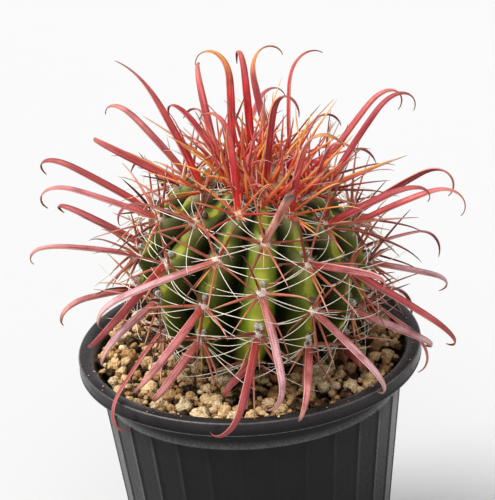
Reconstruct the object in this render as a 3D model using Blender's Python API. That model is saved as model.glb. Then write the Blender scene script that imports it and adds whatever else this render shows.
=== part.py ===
"""A round, ribbed barrel cactus growing in a plastic nursery pot.

The pot stands on z = 0 with its axis on +Z. The plant is seen from its front along +Y, so its
first rib faces -Y and the ribs are counted to the right. All sizes are in metres.
"""
import math

import bmesh
import bpy
from mathutils import Matrix, Vector

# ---------------------------------------------------------------- driving dimensions
GAP = 0.0003                    # air between two pieces that touch

POT_HEIGHT = 0.120
RIM_RADIUS = 0.070              # outer edge of the collar
RIM_TOP_WIDTH = 0.0054          # flat top of the collar
RIM_ROUND = 0.0008
LIP_DEPTH = 0.0060              # how far the outer lip turns down
LIP_SLOPE = 0.0004
POT_WALL = 0.0015
NECK_SETBACK = 0.0075           # wall outside under the lip, in from the rim's edge
WALL_TAPER = 0.119              # the wall comes in this much for each metre down
POT_BASE = 0.0025
FOOT_CHAMFER = 0.0015
POT_SEGMENTS = 60
DRAIN_HOLES = 6
DRAIN_RADIUS = 0.0040
DRAIN_CIRCLE = 0.034            # radius of the ring of drain holes

GRAVEL_DROP = 0.0030            # top of the gravel below the rim
GRAVEL_DEPTH = 0.0090
GRAVEL_LUMP = 0.0009            # the gravel's surface goes up and down by this
GRAVEL_RINGS = 5
GRAVEL_SECTORS = 48
GRAVEL_WAVES = ((7, 1.7), (11, -2.3), (17, 1.0))  # waves in one turn, and their shift ring by ring

RIBS = 13
STEM_RADIUS = 0.046             # at the rib crests
STEM_HALF_HEIGHT = 0.040
STEM_SUNK = 0.0025              # the stem's underside below the gravel's top
STEM_SHIFT = (0.0035, -0.0010)  # the plant isn't quite in the middle of its pot
STEM_LEAN = (0.17, -0.15)       # sideways travel of its axis for each unit up
RIB_DEPTH = 0.27                # groove depth as a share of the stem's radius
GROOVE_FADE = 0.6               # how the grooves run out towards the top and the root
CREST_SHARPNESS = 1.25          # 1 is a straight-sided rib, more is a rounder crest
ROOT_LATITUDE = -68.0           # where the stem's underside gives way to the root, in degrees
STEM_LATITUDES = (82, 72, 62, 52, 42, 32, 22, 12, 2, -8, -18, -28, -38, -48, -58, ROOT_LATITUDE)
ACROSS_RIB = (-0.32, -0.12, 0.0, 0.12, 0.32, 0.5)  # places across a rib, its crest at 0
ROOT_RADIUS = 0.012             # root collar
ROOT_TIP_RADIUS = 0.003
ROOT_LENGTH = 0.045
ROOT_RINGS = (0.12, 0.4, 1.0)   # shares of the root's length
SOCKET_CLEARANCE = 0.0004       # between the stem or root and what it grows in

AREOLE_LENGTH = 0.0056          # the woolly cushion, along the rib
AREOLE_WIDTH = 0.0044
AREOLE_HEIGHT = 0.0014
CELL_EDGES = (-0.5, -0.2, 0.2, 0.5)  # nine cells on top of the cushion, as shares of its sides
FIRST_AREOLE = 63.8             # degrees above the stem's equator
AREOLE_STEP = 29.3              # degrees from one areole to the next below
AREOLE_CLOSING = 1.27           # they come closer together towards the root
LAST_AREOLE = 3.65              # the lowest areole of a rib, in steps
CROWN_AREOLE = -0.48            # the first one outside the growing point, in steps
PHYLLOTAXIS = 6                 # areoles spiral round: 6 steps in one turn of the ribs

CENTRAL_LENGTH = 0.050
CENTRAL_WIDTH = 0.0036
CENTRAL_THICKNESS = 0.0012
CENTRAL_TIP = 0.0006
CENTRAL_STRAIGHT = 0.55         # share of its length before the hook begins
CENTRAL_SAG = 12.0              # degrees of gentle bend
CENTRAL_HOOK = 120.0            # degrees turned by the hook
CENTRAL_STEPS = 6
CENTRAL_TAPER = 2.2             # broad for most of its length, then quickly thinner
CURL_OUTWARD = 0.35             # hooks turn down, and outward by this share

SIDE_SPINES = 4
SIDE_LENGTH = 0.022             # on the lowest areoles
SIDE_LENGTH_CROWN = 0.031       # on the highest
SIDE_THICKNESS = 0.0011
SIDE_RISE = 32.0                # degrees out from the stem's surface
SIDE_SAG = 10.0
SIDE_STEPS = 2
SIDE_TAPER = 0.35               # thickness lost towards the tip

SPINE_CLEARANCE = 0.0004        # least air between two spines
TURN_STEP = 2.2                 # a crowded spine turns aside by degrees, in a widening spiral
TURN_TRIES = 70
GOLDEN_ANGLE = 137.5
SHORTENING = 0.9                # and if it still has no room, it stays shorter by this share
CHECKS_ALONG = 5                # places along each rod where a spine looks for the ground
MOVES_PER_STEP = 4              # small moves that trace one step of a curved spine

CENTRAL_SWING = 24.0            # degrees by which other central spines differ in turn
CENTRAL_RISE = 14.0             # degrees by which the highest ones are raised
CENTRAL_NOD = 8.0               # degrees by which they differ in rise
CENTRAL_ROLL = 40.0             # degrees by which their hooks are rolled round
CENTRAL_STRETCH = 0.1           # share by which they differ in length
SIDE_WANDER = 22.0              # degrees by which side spines differ in place
SIDE_NOD = 9.0                  # and in rise
SIDE_STRETCH = 0.15             # and, as a share, in length

# How the most visible central spines grow, by (rib, areole): degrees turned to the right of
# straight out, degrees raised towards the crown, degrees the hook is rolled round, length in
# millimetres and degrees turned by the hook. The others follow the rule in central_habit().
HABIT = {
    (-1, 1): (-58, -38, -40, 62, 130), (-2, 1): (24, -42, -48, 53, 75),
    (-1, 2): (-4, -28, -52, 50, 100), (-1, 3): (-10, -32, -68, 46, 145),
    (0, 1): (40, -60, -20, 56, 165), (0, 2): (-8, -38, -72, 52, 140),
    (0, 3): (-34, -16, -30, 40, 110), (1, 1): (28, -18, -76, 47, 95),
    (1, 2): (26, -40, 34, 51, 150), (1, 3): (-32, 12, -30, 45, 155),
    (3, 1): (18, -24, 46, 47, 120), (2, 2): (32, -22, 68, 47, 125),
    (2, 1): (8, -38, 36, 60, 105), (-3, 0): (-24, 0, 4, 63, 35),
    (-3, 1): (-10, -16, -26, 59, 165), (-4, 1): (8, 4, -30, 60, 155),
    (-2, 0): (-4, -16, -4, 47, 105), (-4, 2): (0, 22, -42, 48, 105),
    (-4, 0): (8, -30, -66, 48, 110), (-3, 2): (10, 10, -10, 52, 55),
    (-2, 2): (26, 10, -10, 48, 110), (-3, 3): (42, 32, 0, 50, 85),
    (-4, -1): (-22, 4, 88, 62, 180), (-5, 0): (-4, -4, -38, 49, 100),
    (-6, -1): (4, -6, 20, 57, 180), (-1, 0): (-24, 40, 0, 50, 145),
    (-2, -1): (-44, -6, -34, 52, 115), (6, 0): (30, 0, -86, 59, 170),
    (5, -1): (20, 12, -40, 57, 115), (5, 0): (-6, 10, 0, 62, 180),
    (4, 0): (8, 4, 8, 62, 165), (1, 0): (-8, 12, 36, 60, 135),
    (0, -1): (-4, 12, 6, 62, 175), (4, 1): (-20, 22, -42, 58, 170),
    (2, 0): (18, -8, 22, 51, 85), (3, 0): (8, -6, -14, 56, 155),
}
BROKEN_SPINE = (0, 0)           # this central spine has snapped off
BROKEN_HABIT = (14, 22, 0, 29, 0)

CROWN_WIDTH = 0.0090
CROWN_HEIGHT = 0.0030
CROWN_SPINES = 5
CROWN_SPINE_LENGTH = 0.016
CROWN_SPREAD = 0.35             # how far the young spines lean outward
CROWN_DOME = ((1.0, 0.30), (0.7, 0.42), (0.0, 0.5))  # shares of the tuft's height and width

GREEN = (0.16, 0.30, 0.05)
BLACK_PLASTIC = (0.025, 0.026, 0.028)
PUMICE = (0.55, 0.42, 0.26)
SOIL = (0.09, 0.06, 0.04)
SPINE_RED = (0.62, 0.16, 0.15)
WOOL = (0.72, 0.62, 0.45)

RIM_TOP = POT_HEIGHT
GRAVEL_TOP = RIM_TOP - GRAVEL_DROP
GRAVEL_BOTTOM = GRAVEL_TOP - GRAVEL_DEPTH
STEM_CENTRE = Vector((*STEM_SHIFT, GRAVEL_TOP + STEM_HALF_HEIGHT - STEM_SUNK))
STEM_AXIS = Vector((*STEM_LEAN, 1.0)).normalized()


# ---------------------------------------------------------------- helpers
def material(name, colour, roughness, metallic=0.0):
    made = bpy.data.materials.new(name)
    made.use_nodes = True
    shader = made.node_tree.nodes["Principled BSDF"]
    shader.inputs["Base Color"].default_value = (*colour, 1.0)
    shader.inputs["Roughness"].default_value = roughness
    shader.inputs["Metallic"].default_value = metallic
    return made


def add_object(name, bm, finish):
    """Turn a bmesh into a scene object with its faces pointing out."""
    bmesh.ops.recalc_face_normals(bm, faces=bm.faces)
    mesh = bpy.data.meshes.new(name)
    bm.to_mesh(mesh)
    bm.free()
    mesh.materials.append(finish)
    mesh.shade_smooth()
    mesh.set_sharp_from_angle(angle=math.radians(35))
    made = bpy.data.objects.new(name, mesh)
    bpy.context.scene.collection.objects.link(made)
    return made


def skin_rings(bm, rings, first_cap, last_cap):
    """Join rings of vertices with quads and close both ends on a middle vertex."""
    count = len(rings[0])
    for upper, lower in zip(rings, rings[1:]):
        for i in range(count):
            j = (i + 1) % count
            bm.faces.new((upper[i], upper[j], lower[j], lower[i]))
    for ring, cap in ((rings[0], first_cap), (rings[-1], last_cap)):
        for i in range(count):
            bm.faces.new((ring[i], ring[(i + 1) % count], cap))


def turned(bm, outline, segments):
    """Turn an outline of (radius, height) round Z; both its ends are on the axis."""
    rings = []
    for radius, height in outline[1:-1]:
        angles = (math.tau * i / segments for i in range(segments))
        rings.append([bm.verts.new((radius * math.cos(a), radius * math.sin(a), height))
                      for a in angles])
    first = bm.verts.new((0, 0, outline[0][1]))
    last = bm.verts.new((0, 0, outline[-1][1]))
    skin_rings(bm, rings, first, last)


def cut(body, name, cutter_bm, finish):
    """Subtract a cutter from a body with a Boolean modifier."""
    cutter = add_object(name, cutter_bm, finish)
    cutter.hide_render = True
    cutter.display_type = "WIRE"
    difference = body.modifiers.new(name, "BOOLEAN")
    difference.operation = "DIFFERENCE"
    difference.solver = "EXACT"
    difference.object = cutter


# ---------------------------------------------------------------- pot
def wall_radius(height):
    """Outside radius of the pot's wall at a height above the ground."""
    return RIM_RADIUS - NECK_SETBACK - WALL_TAPER * (RIM_TOP - LIP_DEPTH - height)


def mouth_radius(height):
    """Inside radius of the pot, which flares to the collar above the lip's lower edge."""
    below_lip = RIM_TOP - LIP_DEPTH
    inside = wall_radius(min(height, below_lip)) - POT_WALL
    flare = max(0.0, (height - below_lip) / LIP_DEPTH)
    return inside + flare * (RIM_RADIUS - RIM_TOP_WIDTH - inside)


def make_pot(finish):
    lip_bottom = RIM_TOP - LIP_DEPTH
    under_top = RIM_TOP - POT_WALL
    outline = [
        (0.0, 0.0),
        (wall_radius(0.0) - FOOT_CHAMFER, 0.0),
        (wall_radius(FOOT_CHAMFER), FOOT_CHAMFER),
        (wall_radius(lip_bottom), lip_bottom),
        (mouth_radius(under_top) + POT_WALL, under_top - GAP),
        (RIM_RADIUS - POT_WALL, under_top - GAP),
        (RIM_RADIUS - POT_WALL - LIP_SLOPE, lip_bottom),
        (RIM_RADIUS - LIP_SLOPE, lip_bottom),
        (RIM_RADIUS, RIM_TOP - RIM_ROUND),
        (RIM_RADIUS - RIM_ROUND, RIM_TOP),
        (mouth_radius(RIM_TOP), RIM_TOP),
        (mouth_radius(lip_bottom), lip_bottom),
        (mouth_radius(POT_BASE), POT_BASE),
        (0.0, POT_BASE),
    ]
    bm = bmesh.new()
    turned(bm, outline, POT_SEGMENTS)
    pot = add_object("nursery_pot", bm, finish)
    holes = bmesh.new()
    for i in range(DRAIN_HOLES):
        angle = math.tau * (i + 0.5) / DRAIN_HOLES
        centre = Vector((DRAIN_CIRCLE * math.cos(angle), DRAIN_CIRCLE * math.sin(angle), 0.0))
        bmesh.ops.create_cone(
            holes, cap_ends=True, segments=16, radius1=DRAIN_RADIUS, radius2=DRAIN_RADIUS,
            depth=4 * POT_BASE, matrix=Matrix.Translation(centre))
    cut(pot, "drain_hole_cutter", holes, finish)
    return pot


# ---------------------------------------------------------------- stem
def stem_frame():
    """Right, back and up axes of the leaning stem."""
    right = (Vector((1, 0, 0)) - STEM_AXIS.x * STEM_AXIS).normalized()
    return right, STEM_AXIS.cross(right), STEM_AXIS


def stem_point(latitude, azimuth, share=1.0, grow=0.0):
    """A point at a latitude above the equator, turned to the right of the front."""
    right, back, up = stem_frame()
    across = (STEM_RADIUS + grow) * share * math.cos(latitude)
    along = (STEM_HALF_HEIGHT + grow) * math.sin(latitude)
    return (STEM_CENTRE + right * across * math.sin(azimuth)
            - back * across * math.cos(azimuth) + up * along)


def stem_directions(latitude, azimuth):
    """Outward, crownward and rightward directions on the stem's surface."""
    right, back, up = stem_frame()
    level = right * math.sin(azimuth) - back * math.cos(azimuth)
    out = (level * math.cos(latitude) / STEM_RADIUS
           + up * math.sin(latitude) / STEM_HALF_HEIGHT).normalized()
    crownward = (up - up.dot(out) * out).normalized()
    return out, crownward, crownward.cross(out)


def rib_share(turns, latitude):
    """Radius share of a ribbed section; turns counts ribs, and is whole on a crest."""
    off_crest = 2 * abs(turns - round(turns))
    fade = math.cos(latitude) ** GROOVE_FADE
    return 1 - RIB_DEPTH * fade * off_crest ** CREST_SHARPNESS


def root_rings(grow):
    """Centre and radius of the rings from the root collar to the taproot's tip."""
    start = STEM_CENTRE + STEM_AXIS * STEM_HALF_HEIGHT * math.sin(math.radians(ROOT_LATITUDE))
    rings = []
    for share in ROOT_RINGS:
        swing = STEM_AXIS * (1 - share) + Vector((0, 0, 1)) * share
        radius = ROOT_RADIUS + (ROOT_TIP_RADIUS - ROOT_RADIUS) * share
        rings.append((start - swing.normalized() * ROOT_LENGTH * share, radius + grow))
    return rings


def stem_mesh(ribbed, grow):
    """The stem with its taproot; grow makes the same body larger, for a socket."""
    bm = bmesh.new()
    right, back, _ = stem_frame()
    turns = [rib + across for rib in range(RIBS) for across in ACROSS_RIB]
    rings = []
    for degrees in STEM_LATITUDES:
        latitude = math.radians(degrees)
        ring = []
        for turn in turns:
            share = rib_share(turn, latitude) if ribbed else 1.0
            ring.append(bm.verts.new(stem_point(latitude, math.tau * turn / RIBS, share, grow)))
        rings.append(ring)
    for centre, radius in root_rings(grow):
        ring = []
        for turn in turns:
            angle = math.tau * turn / RIBS
            spoke = right * math.sin(angle) - back * math.cos(angle)
            ring.append(bm.verts.new(centre + spoke * radius))
        rings.append(ring)
    top = bm.verts.new(stem_point(math.pi / 2, 0.0, grow=grow))
    tip_centre, tip_radius = root_rings(grow)[-1]
    tip = bm.verts.new(tip_centre - Vector((0, 0, tip_radius)))
    skin_rings(bm, rings, top, tip)
    return bm


# ---------------------------------------------------------------- what fills the pot
def make_mix(finish):
    top = GRAVEL_BOTTOM - GAP
    floor = POT_BASE + GAP
    outline = [(0.0, floor), (mouth_radius(floor) - GAP, floor),
               (mouth_radius(top) - GAP, top), (0.0, top)]
    bm = bmesh.new()
    turned(bm, outline, POT_SEGMENTS)
    mix = add_object("potting_mix", bm, finish)
    cut(mix, "root_cutter", stem_mesh(False, SOCKET_CLEARANCE), finish)
    return mix


def gravel_height(angle, ring):
    """The gravel's uneven top: three waves that never line up."""
    wave = sum(math.sin(count * angle + shift * ring) for count, shift in GRAVEL_WAVES)
    return GRAVEL_TOP + GRAVEL_LUMP * wave / len(GRAVEL_WAVES)


def make_gravel(finish):
    bm = bmesh.new()
    angles = [math.tau * i / GRAVEL_SECTORS for i in range(GRAVEL_SECTORS)]
    edge_top = mouth_radius(GRAVEL_TOP - GRAVEL_LUMP) - GAP
    rings = []
    for ring in range(GRAVEL_RINGS):
        radius = edge_top * (ring + 1) / GRAVEL_RINGS
        rings.append([bm.verts.new((radius * math.cos(a), radius * math.sin(a),
                                    gravel_height(a, ring))) for a in angles])
    flare_starts = min(max(RIM_TOP - LIP_DEPTH, GRAVEL_BOTTOM + GAP), GRAVEL_TOP - 2 * GRAVEL_LUMP)
    for height in (flare_starts, GRAVEL_BOTTOM):
        edge = mouth_radius(height) - GAP
        rings.append([bm.verts.new((edge * math.cos(a), edge * math.sin(a), height))
                      for a in angles])
    top = bm.verts.new((0, 0, GRAVEL_TOP))
    bottom = bm.verts.new((0, 0, GRAVEL_BOTTOM))
    skin_rings(bm, rings, top, bottom)
    gravel = add_object("gravel", bm, finish)
    cut(gravel, "stem_cutter", stem_mesh(False, SOCKET_CLEARANCE), finish)
    return gravel


# ---------------------------------------------------------------- spines
class Room:
    """Keeps the spines that have grown, and says whether a new one has room."""

    def __init__(self):
        self.grown = []

    def clear_of_ground(self, point, radius):
        away = math.hypot(point.x, point.y)
        need = radius + SPINE_CLEARANCE
        if away < mouth_radius(RIM_TOP) - need:
            return point.z > GRAVEL_TOP + GRAVEL_LUMP + need
        return point.z > RIM_TOP + need or away > RIM_RADIUS + need

    def clear_of_stem(self, point, radius):
        right, back, up = stem_frame()
        offset = point - STEM_CENTRE
        need = radius + SPINE_CLEARANCE
        across = math.hypot(offset.dot(right), offset.dot(back)) / (STEM_RADIUS + need)
        return math.hypot(across, offset.dot(up) / (STEM_HALF_HEIGHT + need)) > 1

    def has_room(self, path, radii, owner):
        mine = capsules(path, radii)
        for start, end, radius in mine:
            for i in range(1, CHECKS_ALONG + 1):
                point = start.lerp(end, i / CHECKS_ALONG)
                if not self.clear_of_ground(point, radius):
                    return False
            if not self.clear_of_stem(end, radius):
                return False
        low, high = box_of(mine)
        for other, other_low, other_high, other_owner in self.grown:
            if other_owner == owner or apart(low, high, other_low, other_high):
                continue
            for capsule in mine:
                for standing in other:
                    if too_close(capsule, standing):
                        return False
        return True

    def keep(self, path, radii, owner):
        mine = capsules(path, radii)
        self.grown.append((mine, *box_of(mine), owner))


def capsules(path, radii):
    """A spine as a chain of round-ended rods: two ends and a radius."""
    return [(a, b, max(ra, rb)) for a, b, ra, rb in zip(path, path[1:], radii, radii[1:])]


def box_of(chain):
    low = Vector([min(min(a[i], b[i]) - r for a, b, r in chain) for i in range(3)])
    high = Vector([max(max(a[i], b[i]) + r for a, b, r in chain) for i in range(3)])
    return low, high


def apart(low, high, other_low, other_high):
    return any(low[i] - SPINE_CLEARANCE > other_high[i] or other_low[i] - SPINE_CLEARANCE > high[i]
               for i in range(3))


def too_close(one, other):
    """Whether two rods come nearer than their radii and the clearance."""
    a, b, radius = one
    c, d, other_radius = other
    along, across, between = b - a, d - c, a - c
    aa, cc, ac = along.dot(along), across.dot(across), along.dot(across)
    ab, cb = along.dot(between), across.dot(between)
    spread = aa * cc - ac * ac
    s = min(1.0, max(0.0, (ac * cb - cc * ab) / spread)) if spread > 1e-18 else 0.0
    t = min(1.0, max(0.0, (ac * s + cb) / cc))
    s = min(1.0, max(0.0, (ac * t - ab) / aa))
    nearest = (a + along * s - c - across * t).length
    return nearest < radius + other_radius + SPINE_CLEARANCE


def curved_path(root, heading, curl, length, sag, hook, steps):
    """Points of a spine that sags a little and then hooks over towards curl."""
    path = [root]
    point = root.copy()
    moves = steps * MOVES_PER_STEP
    for i in range(moves):
        t = (i + 0.5) / moves
        late = max(0.0, (t - CENTRAL_STRAIGHT) / (1 - CENTRAL_STRAIGHT))
        bend = math.radians(sag * t + hook * late ** 2)
        point = point + (heading * math.cos(bend) + curl * math.sin(bend)) * length / moves
        if (i + 1) % MOVES_PER_STEP == 0:
            path.append(point)
    return path


def aim(latitude, azimuth, turn, rise):
    """Direction turned to the right of straight out and raised towards the crown."""
    out, crownward, right = stem_directions(latitude, azimuth)
    turn, rise = math.radians(turn), math.radians(rise)
    level = out * math.cos(turn) + right * math.sin(turn)
    return level * math.cos(rise) + crownward * math.sin(rise)


def curl_direction(heading, out, roll):
    """Side to which a hook turns over: down and outward, rolled round the spine."""
    down = Vector((0, 0, -1)) + out * CURL_OUTWARD
    curl = (down - down.dot(heading) * heading).normalized()
    return Matrix.Rotation(math.radians(roll), 3, heading) @ curl


def central_habit(rib, row, latitude):
    """Turn, rise, roll, length and hook of a central spine."""
    if (rib, row) == BROKEN_SPINE:
        return BROKEN_HABIT
    if (rib, row) in HABIT:
        return HABIT[rib, row]
    swing = math.sin(2.4 * rib + 1.9 * row)
    lean = math.sin(1.3 * rib - 2.7 * row)
    rise = CENTRAL_RISE * math.sin(latitude) + CENTRAL_NOD * lean
    millimetres = 1000 * CENTRAL_LENGTH * (1 + CENTRAL_STRETCH * swing)
    return CENTRAL_SWING * swing, rise, CENTRAL_ROLL * lean, millimetres, CENTRAL_HOOK


class Areole:
    """One woolly cushion on a rib crest and the spines that grow from it."""

    def __init__(self, rib, row, steps):
        self.rib, self.row = rib, row
        degrees = FIRST_AREOLE - AREOLE_STEP * steps + AREOLE_CLOSING * steps ** 2
        self.latitude = math.radians(degrees)
        self.azimuth = math.tau * rib / RIBS
        self.out, self.crownward, self.right = stem_directions(self.latitude, self.azimuth)
        self.foot = stem_point(self.latitude, self.azimuth) + self.out * GAP
        self.top = self.foot + self.out * AREOLE_HEIGHT
        self.name = "areole_rib%02d_%d" % (rib % RIBS + 1, row + 2)
        self.paths = []

    def claim_cushion(self, room):
        """The cushion itself as a short rod along the rib, so that no spine grows through it."""
        half = self.crownward * (AREOLE_LENGTH - AREOLE_WIDTH) / 2
        middle = (self.foot + self.top) / 2
        to_corner = AREOLE_WIDTH * math.sqrt(0.5)
        room.keep([middle - half, middle + half], [to_corner] * 2, self.name)

    def root(self, cell):
        """Middle of one of the nine cells on top of the cushion."""
        across, along = ((CELL_EDGES[i] + CELL_EDGES[i + 1]) / 2 for i in cell)
        return (self.top + self.right * AREOLE_WIDTH * across
                + self.crownward * AREOLE_LENGTH * along)

    def grow_spine(self, room, shape, widths, thicknesses, cell):
        """Try a spine straight, then turned aside by degrees, then a little shorter."""
        turn, rise, length, make_path = shape
        radii = [math.hypot(w, t) / 2 for w, t in zip(widths, thicknesses)]
        radii[0] = max(radii[0], CELL_EDGES[2] * AREOLE_WIDTH)
        shorter = 1.0
        while True:
            for attempt in range(TURN_TRIES):
                spiral = TURN_STEP * math.sqrt(attempt)
                phase = math.radians(GOLDEN_ANGLE * attempt)
                path, curl = make_path(turn + spiral * math.cos(phase),
                                       rise + spiral * math.sin(phase), length * shorter)
                if room.has_room(path, radii, self.name):
                    room.keep(path, radii, self.name)
                    self.paths.append((path, curl, widths, thicknesses, cell))
                    return
            shorter *= SHORTENING

    def grow_central(self, room):
        turn, rise, roll, length, hook = central_habit(self.rib, self.row, self.latitude)
        broken = (self.rib, self.row) == BROKEN_SPINE
        sag = 0.0 if broken else CENTRAL_SAG

        def make_path(turned, raised, reach):
            heading = aim(self.latitude, self.azimuth, turned, raised)
            curl = curl_direction(heading, self.out, roll)
            path = curved_path(self.root((1, 1)), heading, curl, reach, sag, hook, CENTRAL_STEPS)
            return path, curl

        widths, thicknesses = [], []
        for i in range(CENTRAL_STEPS + 1):
            t = i / CENTRAL_STEPS
            taper = 1.0 if broken else 1 - t ** CENTRAL_TAPER
            widths.append(CENTRAL_TIP + (CENTRAL_WIDTH - CENTRAL_TIP) * taper)
            thicknesses.append(CENTRAL_TIP + (CENTRAL_THICKNESS - CENTRAL_TIP) * taper)
        self.grow_spine(room, (turn, rise, length / 1000, make_path), widths, thicknesses, (1, 1))

    def grow_sides(self, room):
        high = max(0.0, math.sin(self.latitude))
        length = SIDE_LENGTH + (SIDE_LENGTH_CROWN - SIDE_LENGTH) * high
        for i, cell in enumerate(((2, 1), (1, 2), (0, 1), (1, 0))):
            wander = SIDE_WANDER * math.sin(3.1 * self.rib + 1.7 * self.row + 2.2 * i)
            around = math.radians(360 * i / SIDE_SPINES + wander)
            rise = math.radians(SIDE_RISE + SIDE_NOD * math.sin(self.rib + 2.9 * i + self.row))
            reach = length * (1 + SIDE_STRETCH * math.sin(5.3 * self.rib + 4.1 * i))
            turn = math.degrees(math.atan2(math.cos(rise) * math.cos(around), math.sin(rise)))
            lift = math.degrees(math.asin(math.cos(rise) * math.sin(around)))

            def make_path(turned, raised, run):
                heading = aim(self.latitude, self.azimuth, turned, raised)
                curl = curl_direction(heading, self.out, 0.0)
                path = curved_path(self.root(cell), heading, curl, run, SIDE_SAG, 0.0, SIDE_STEPS)
                return path, curl

            sizes = [SIDE_THICKNESS * (1 - SIDE_TAPER * step / SIDE_STEPS)
                     for step in range(SIDE_STEPS + 1)]
            self.grow_spine(room, (turn, lift, reach, make_path), sizes, sizes, cell)

    def mesh(self):
        """The cushion as a flat block with nine cells on top, and a spine out of five."""
        bm = bmesh.new()
        grid = {}
        for i, across in enumerate(CELL_EDGES):
            for j, along in enumerate(CELL_EDGES):
                spot = (self.top + self.right * AREOLE_WIDTH * across
                        + self.crownward * AREOLE_LENGTH * along)
                grid[i, j] = bm.verts.new(spot)
        base = [bm.verts.new(self.foot + self.right * AREOLE_WIDTH * x
                             + self.crownward * AREOLE_LENGTH * y)
                for x, y in ((-0.5, -0.5), (0.5, -0.5), (0.5, 0.5), (-0.5, 0.5))]
        spine_cells = {entry[4] for entry in self.paths}
        for i in range(3):
            for j in range(3):
                if (i, j) not in spine_cells:
                    bm.faces.new(self.cell(grid, i, j))
        bm.faces.new(base)
        edges = ([grid[i, 0] for i in range(4)], [grid[3, j] for j in range(4)],
                 [grid[i, 3] for i in (3, 2, 1, 0)], [grid[0, j] for j in (3, 2, 1, 0)])
        for side, edge in enumerate(edges):
            bm.faces.new(edge + [base[(side + 1) % 4], base[side]])
        for path, curl, widths, thicknesses, cell in self.paths:
            self.skin_spine(bm, self.cell(grid, *cell), path, curl, widths, thicknesses)
        return bm

    @staticmethod
    def cell(grid, i, j):
        return [grid[i, j], grid[i + 1, j], grid[i + 1, j + 1], grid[i, j + 1]]

    @staticmethod
    def skin_spine(bm, root, path, curl, widths, thicknesses):
        """Carry the root cell along the path as a four-sided, tapering section."""
        previous = root
        for step in range(1, len(path)):
            heading = (path[min(step + 1, len(path) - 1)] - path[step - 1]).normalized()
            broad = heading.cross(curl).normalized()
            flat = broad.cross(heading)
            half_w, half_t = widths[step] / 2, thicknesses[step] / 2
            corners = [path[step] + broad * half_w * x + flat * half_t * y
                       for x, y in ((-1, -1), (1, -1), (1, 1), (-1, 1))]
            corners = matched(previous, corners)
            section = [bm.verts.new(corner) for corner in corners]
            for i in range(4):
                j = (i + 1) % 4
                bm.faces.new((previous[i], previous[j], section[j], section[i]))
            previous = section
        bm.faces.new(previous)


def matched(previous, corners):
    """Turn or flip four corners so that they face the four vertices they join."""
    centre = sum((v.co for v in previous), Vector()) / 4
    middle = sum(corners, Vector()) / 4
    best, least = corners, math.inf
    for order in (corners, corners[::-1]):
        for shift in range(4):
            trial = order[shift:] + order[:shift]
            apart_by = sum(((v.co - centre).normalized() - (c - middle).normalized()).length
                           for v, c in zip(previous, trial))
            if apart_by < least:
                best, least = trial, apart_by
    return best


def areoles():
    """Every areole outside the growing point, rib by rib, with its rows spiralling round."""
    made = []
    for rib in range(RIBS):
        signed = rib if rib <= RIBS // 2 else rib - RIBS
        phase = PHYLLOTAXIS * (signed - 1) / RIBS % 1
        for row in range(-1, 4):
            steps = row + phase
            if CROWN_AREOLE <= steps <= LAST_AREOLE:
                made.append(Areole(signed, row, steps))
    return made


def make_spines(room, finish):
    plants = areoles()
    plants.sort(key=lambda areole: (areole.rib, areole.row) not in HABIT)
    for areole in plants:
        areole.claim_cushion(room)
    for areole in plants:
        areole.grow_central(room)
    for areole in plants:
        areole.grow_sides(room)
    for areole in plants:
        add_object(areole.name, areole.mesh(), finish)


# ---------------------------------------------------------------- growing point
def make_crown(room, finish):
    """A low woolly tuft on the stem's apex with its youngest, shortest spines."""
    bm = bmesh.new()
    right, back, up = stem_frame()
    foot = stem_point(math.pi / 2, 0.0) + up * GAP
    rings = []
    for height, spread in CROWN_DOME:
        ring = []
        for i in range(2 * CROWN_SPINES):
            angle = math.tau * i / (2 * CROWN_SPINES)
            spoke = right * math.cos(angle) + back * math.sin(angle)
            ring.append(bm.verts.new(foot + up * CROWN_HEIGHT * height
                                     + spoke * CROWN_WIDTH * spread))
        rings.append(ring)
    skin_rings(bm, rings, bm.verts.new(foot + up * CROWN_HEIGHT), bm.verts.new(foot))
    room.keep([foot, foot + up * CROWN_HEIGHT], [CROWN_WIDTH / 2] * 2, "crown_tuft")
    bm.faces.ensure_lookup_table()
    young = [bm.faces[i] for i in range(0, 2 * CROWN_SPINES, 2)]
    for face in young:
        middle = face.calc_center_median()
        spoke = (middle - foot - up * CROWN_HEIGHT).normalized()
        heading = (up + spoke * CROWN_SPREAD).normalized()
        tip = bm.verts.new(middle + heading * CROWN_SPINE_LENGTH)
        half = max((corner.co - middle).length for corner in face.verts)
        room.keep([middle, tip.co.copy()], [half] * 2, "crown_tuft")
        corners = list(face.verts)
        bm.faces.remove(face)
        for i, corner in enumerate(corners):
            bm.faces.new((corner, corners[(i + 1) % len(corners)], tip))
    add_object("crown_tuft", bm, finish)


def main():
    for old in list(bpy.data.objects):
        bpy.data.objects.remove(old, do_unlink=True)
    plastic = material("black_plastic", BLACK_PLASTIC, 0.45)
    pumice = material("pumice", PUMICE, 0.9)
    soil = material("potting_mix", SOIL, 0.95)
    skin = material("stem_skin", GREEN, 0.5)
    spine = material("spine", SPINE_RED, 0.5)
    wool = material("wool", WOOL, 0.95)
    make_pot(plastic)
    make_mix(soil)
    make_gravel(pumice)
    add_object("stem", stem_mesh(True, 0.0), skin)
    room = Room()
    make_crown(room, wool)
    make_spines(room, spine)


main()
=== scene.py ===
# %% [markdown]
# # A potted barrel cactus
# This lesson dresses a plain CAD model of a barrel cactus in a nursery pot. The CAD model says where
# everything is and how big it is. Here each piece gets its real surface: a moulded pot, loose pumice,
# a ribbed green stem, flat hooked spines, thin white bristles and wool.
# The first step loads the CAD model as a fixed frame and keeps its box, whose size is printed; the
# dressed model's size is printed at the end.

# %% Load the frame
import math
import random

import bmesh
import bpy
from mathutils import Matrix, Vector, noise


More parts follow.
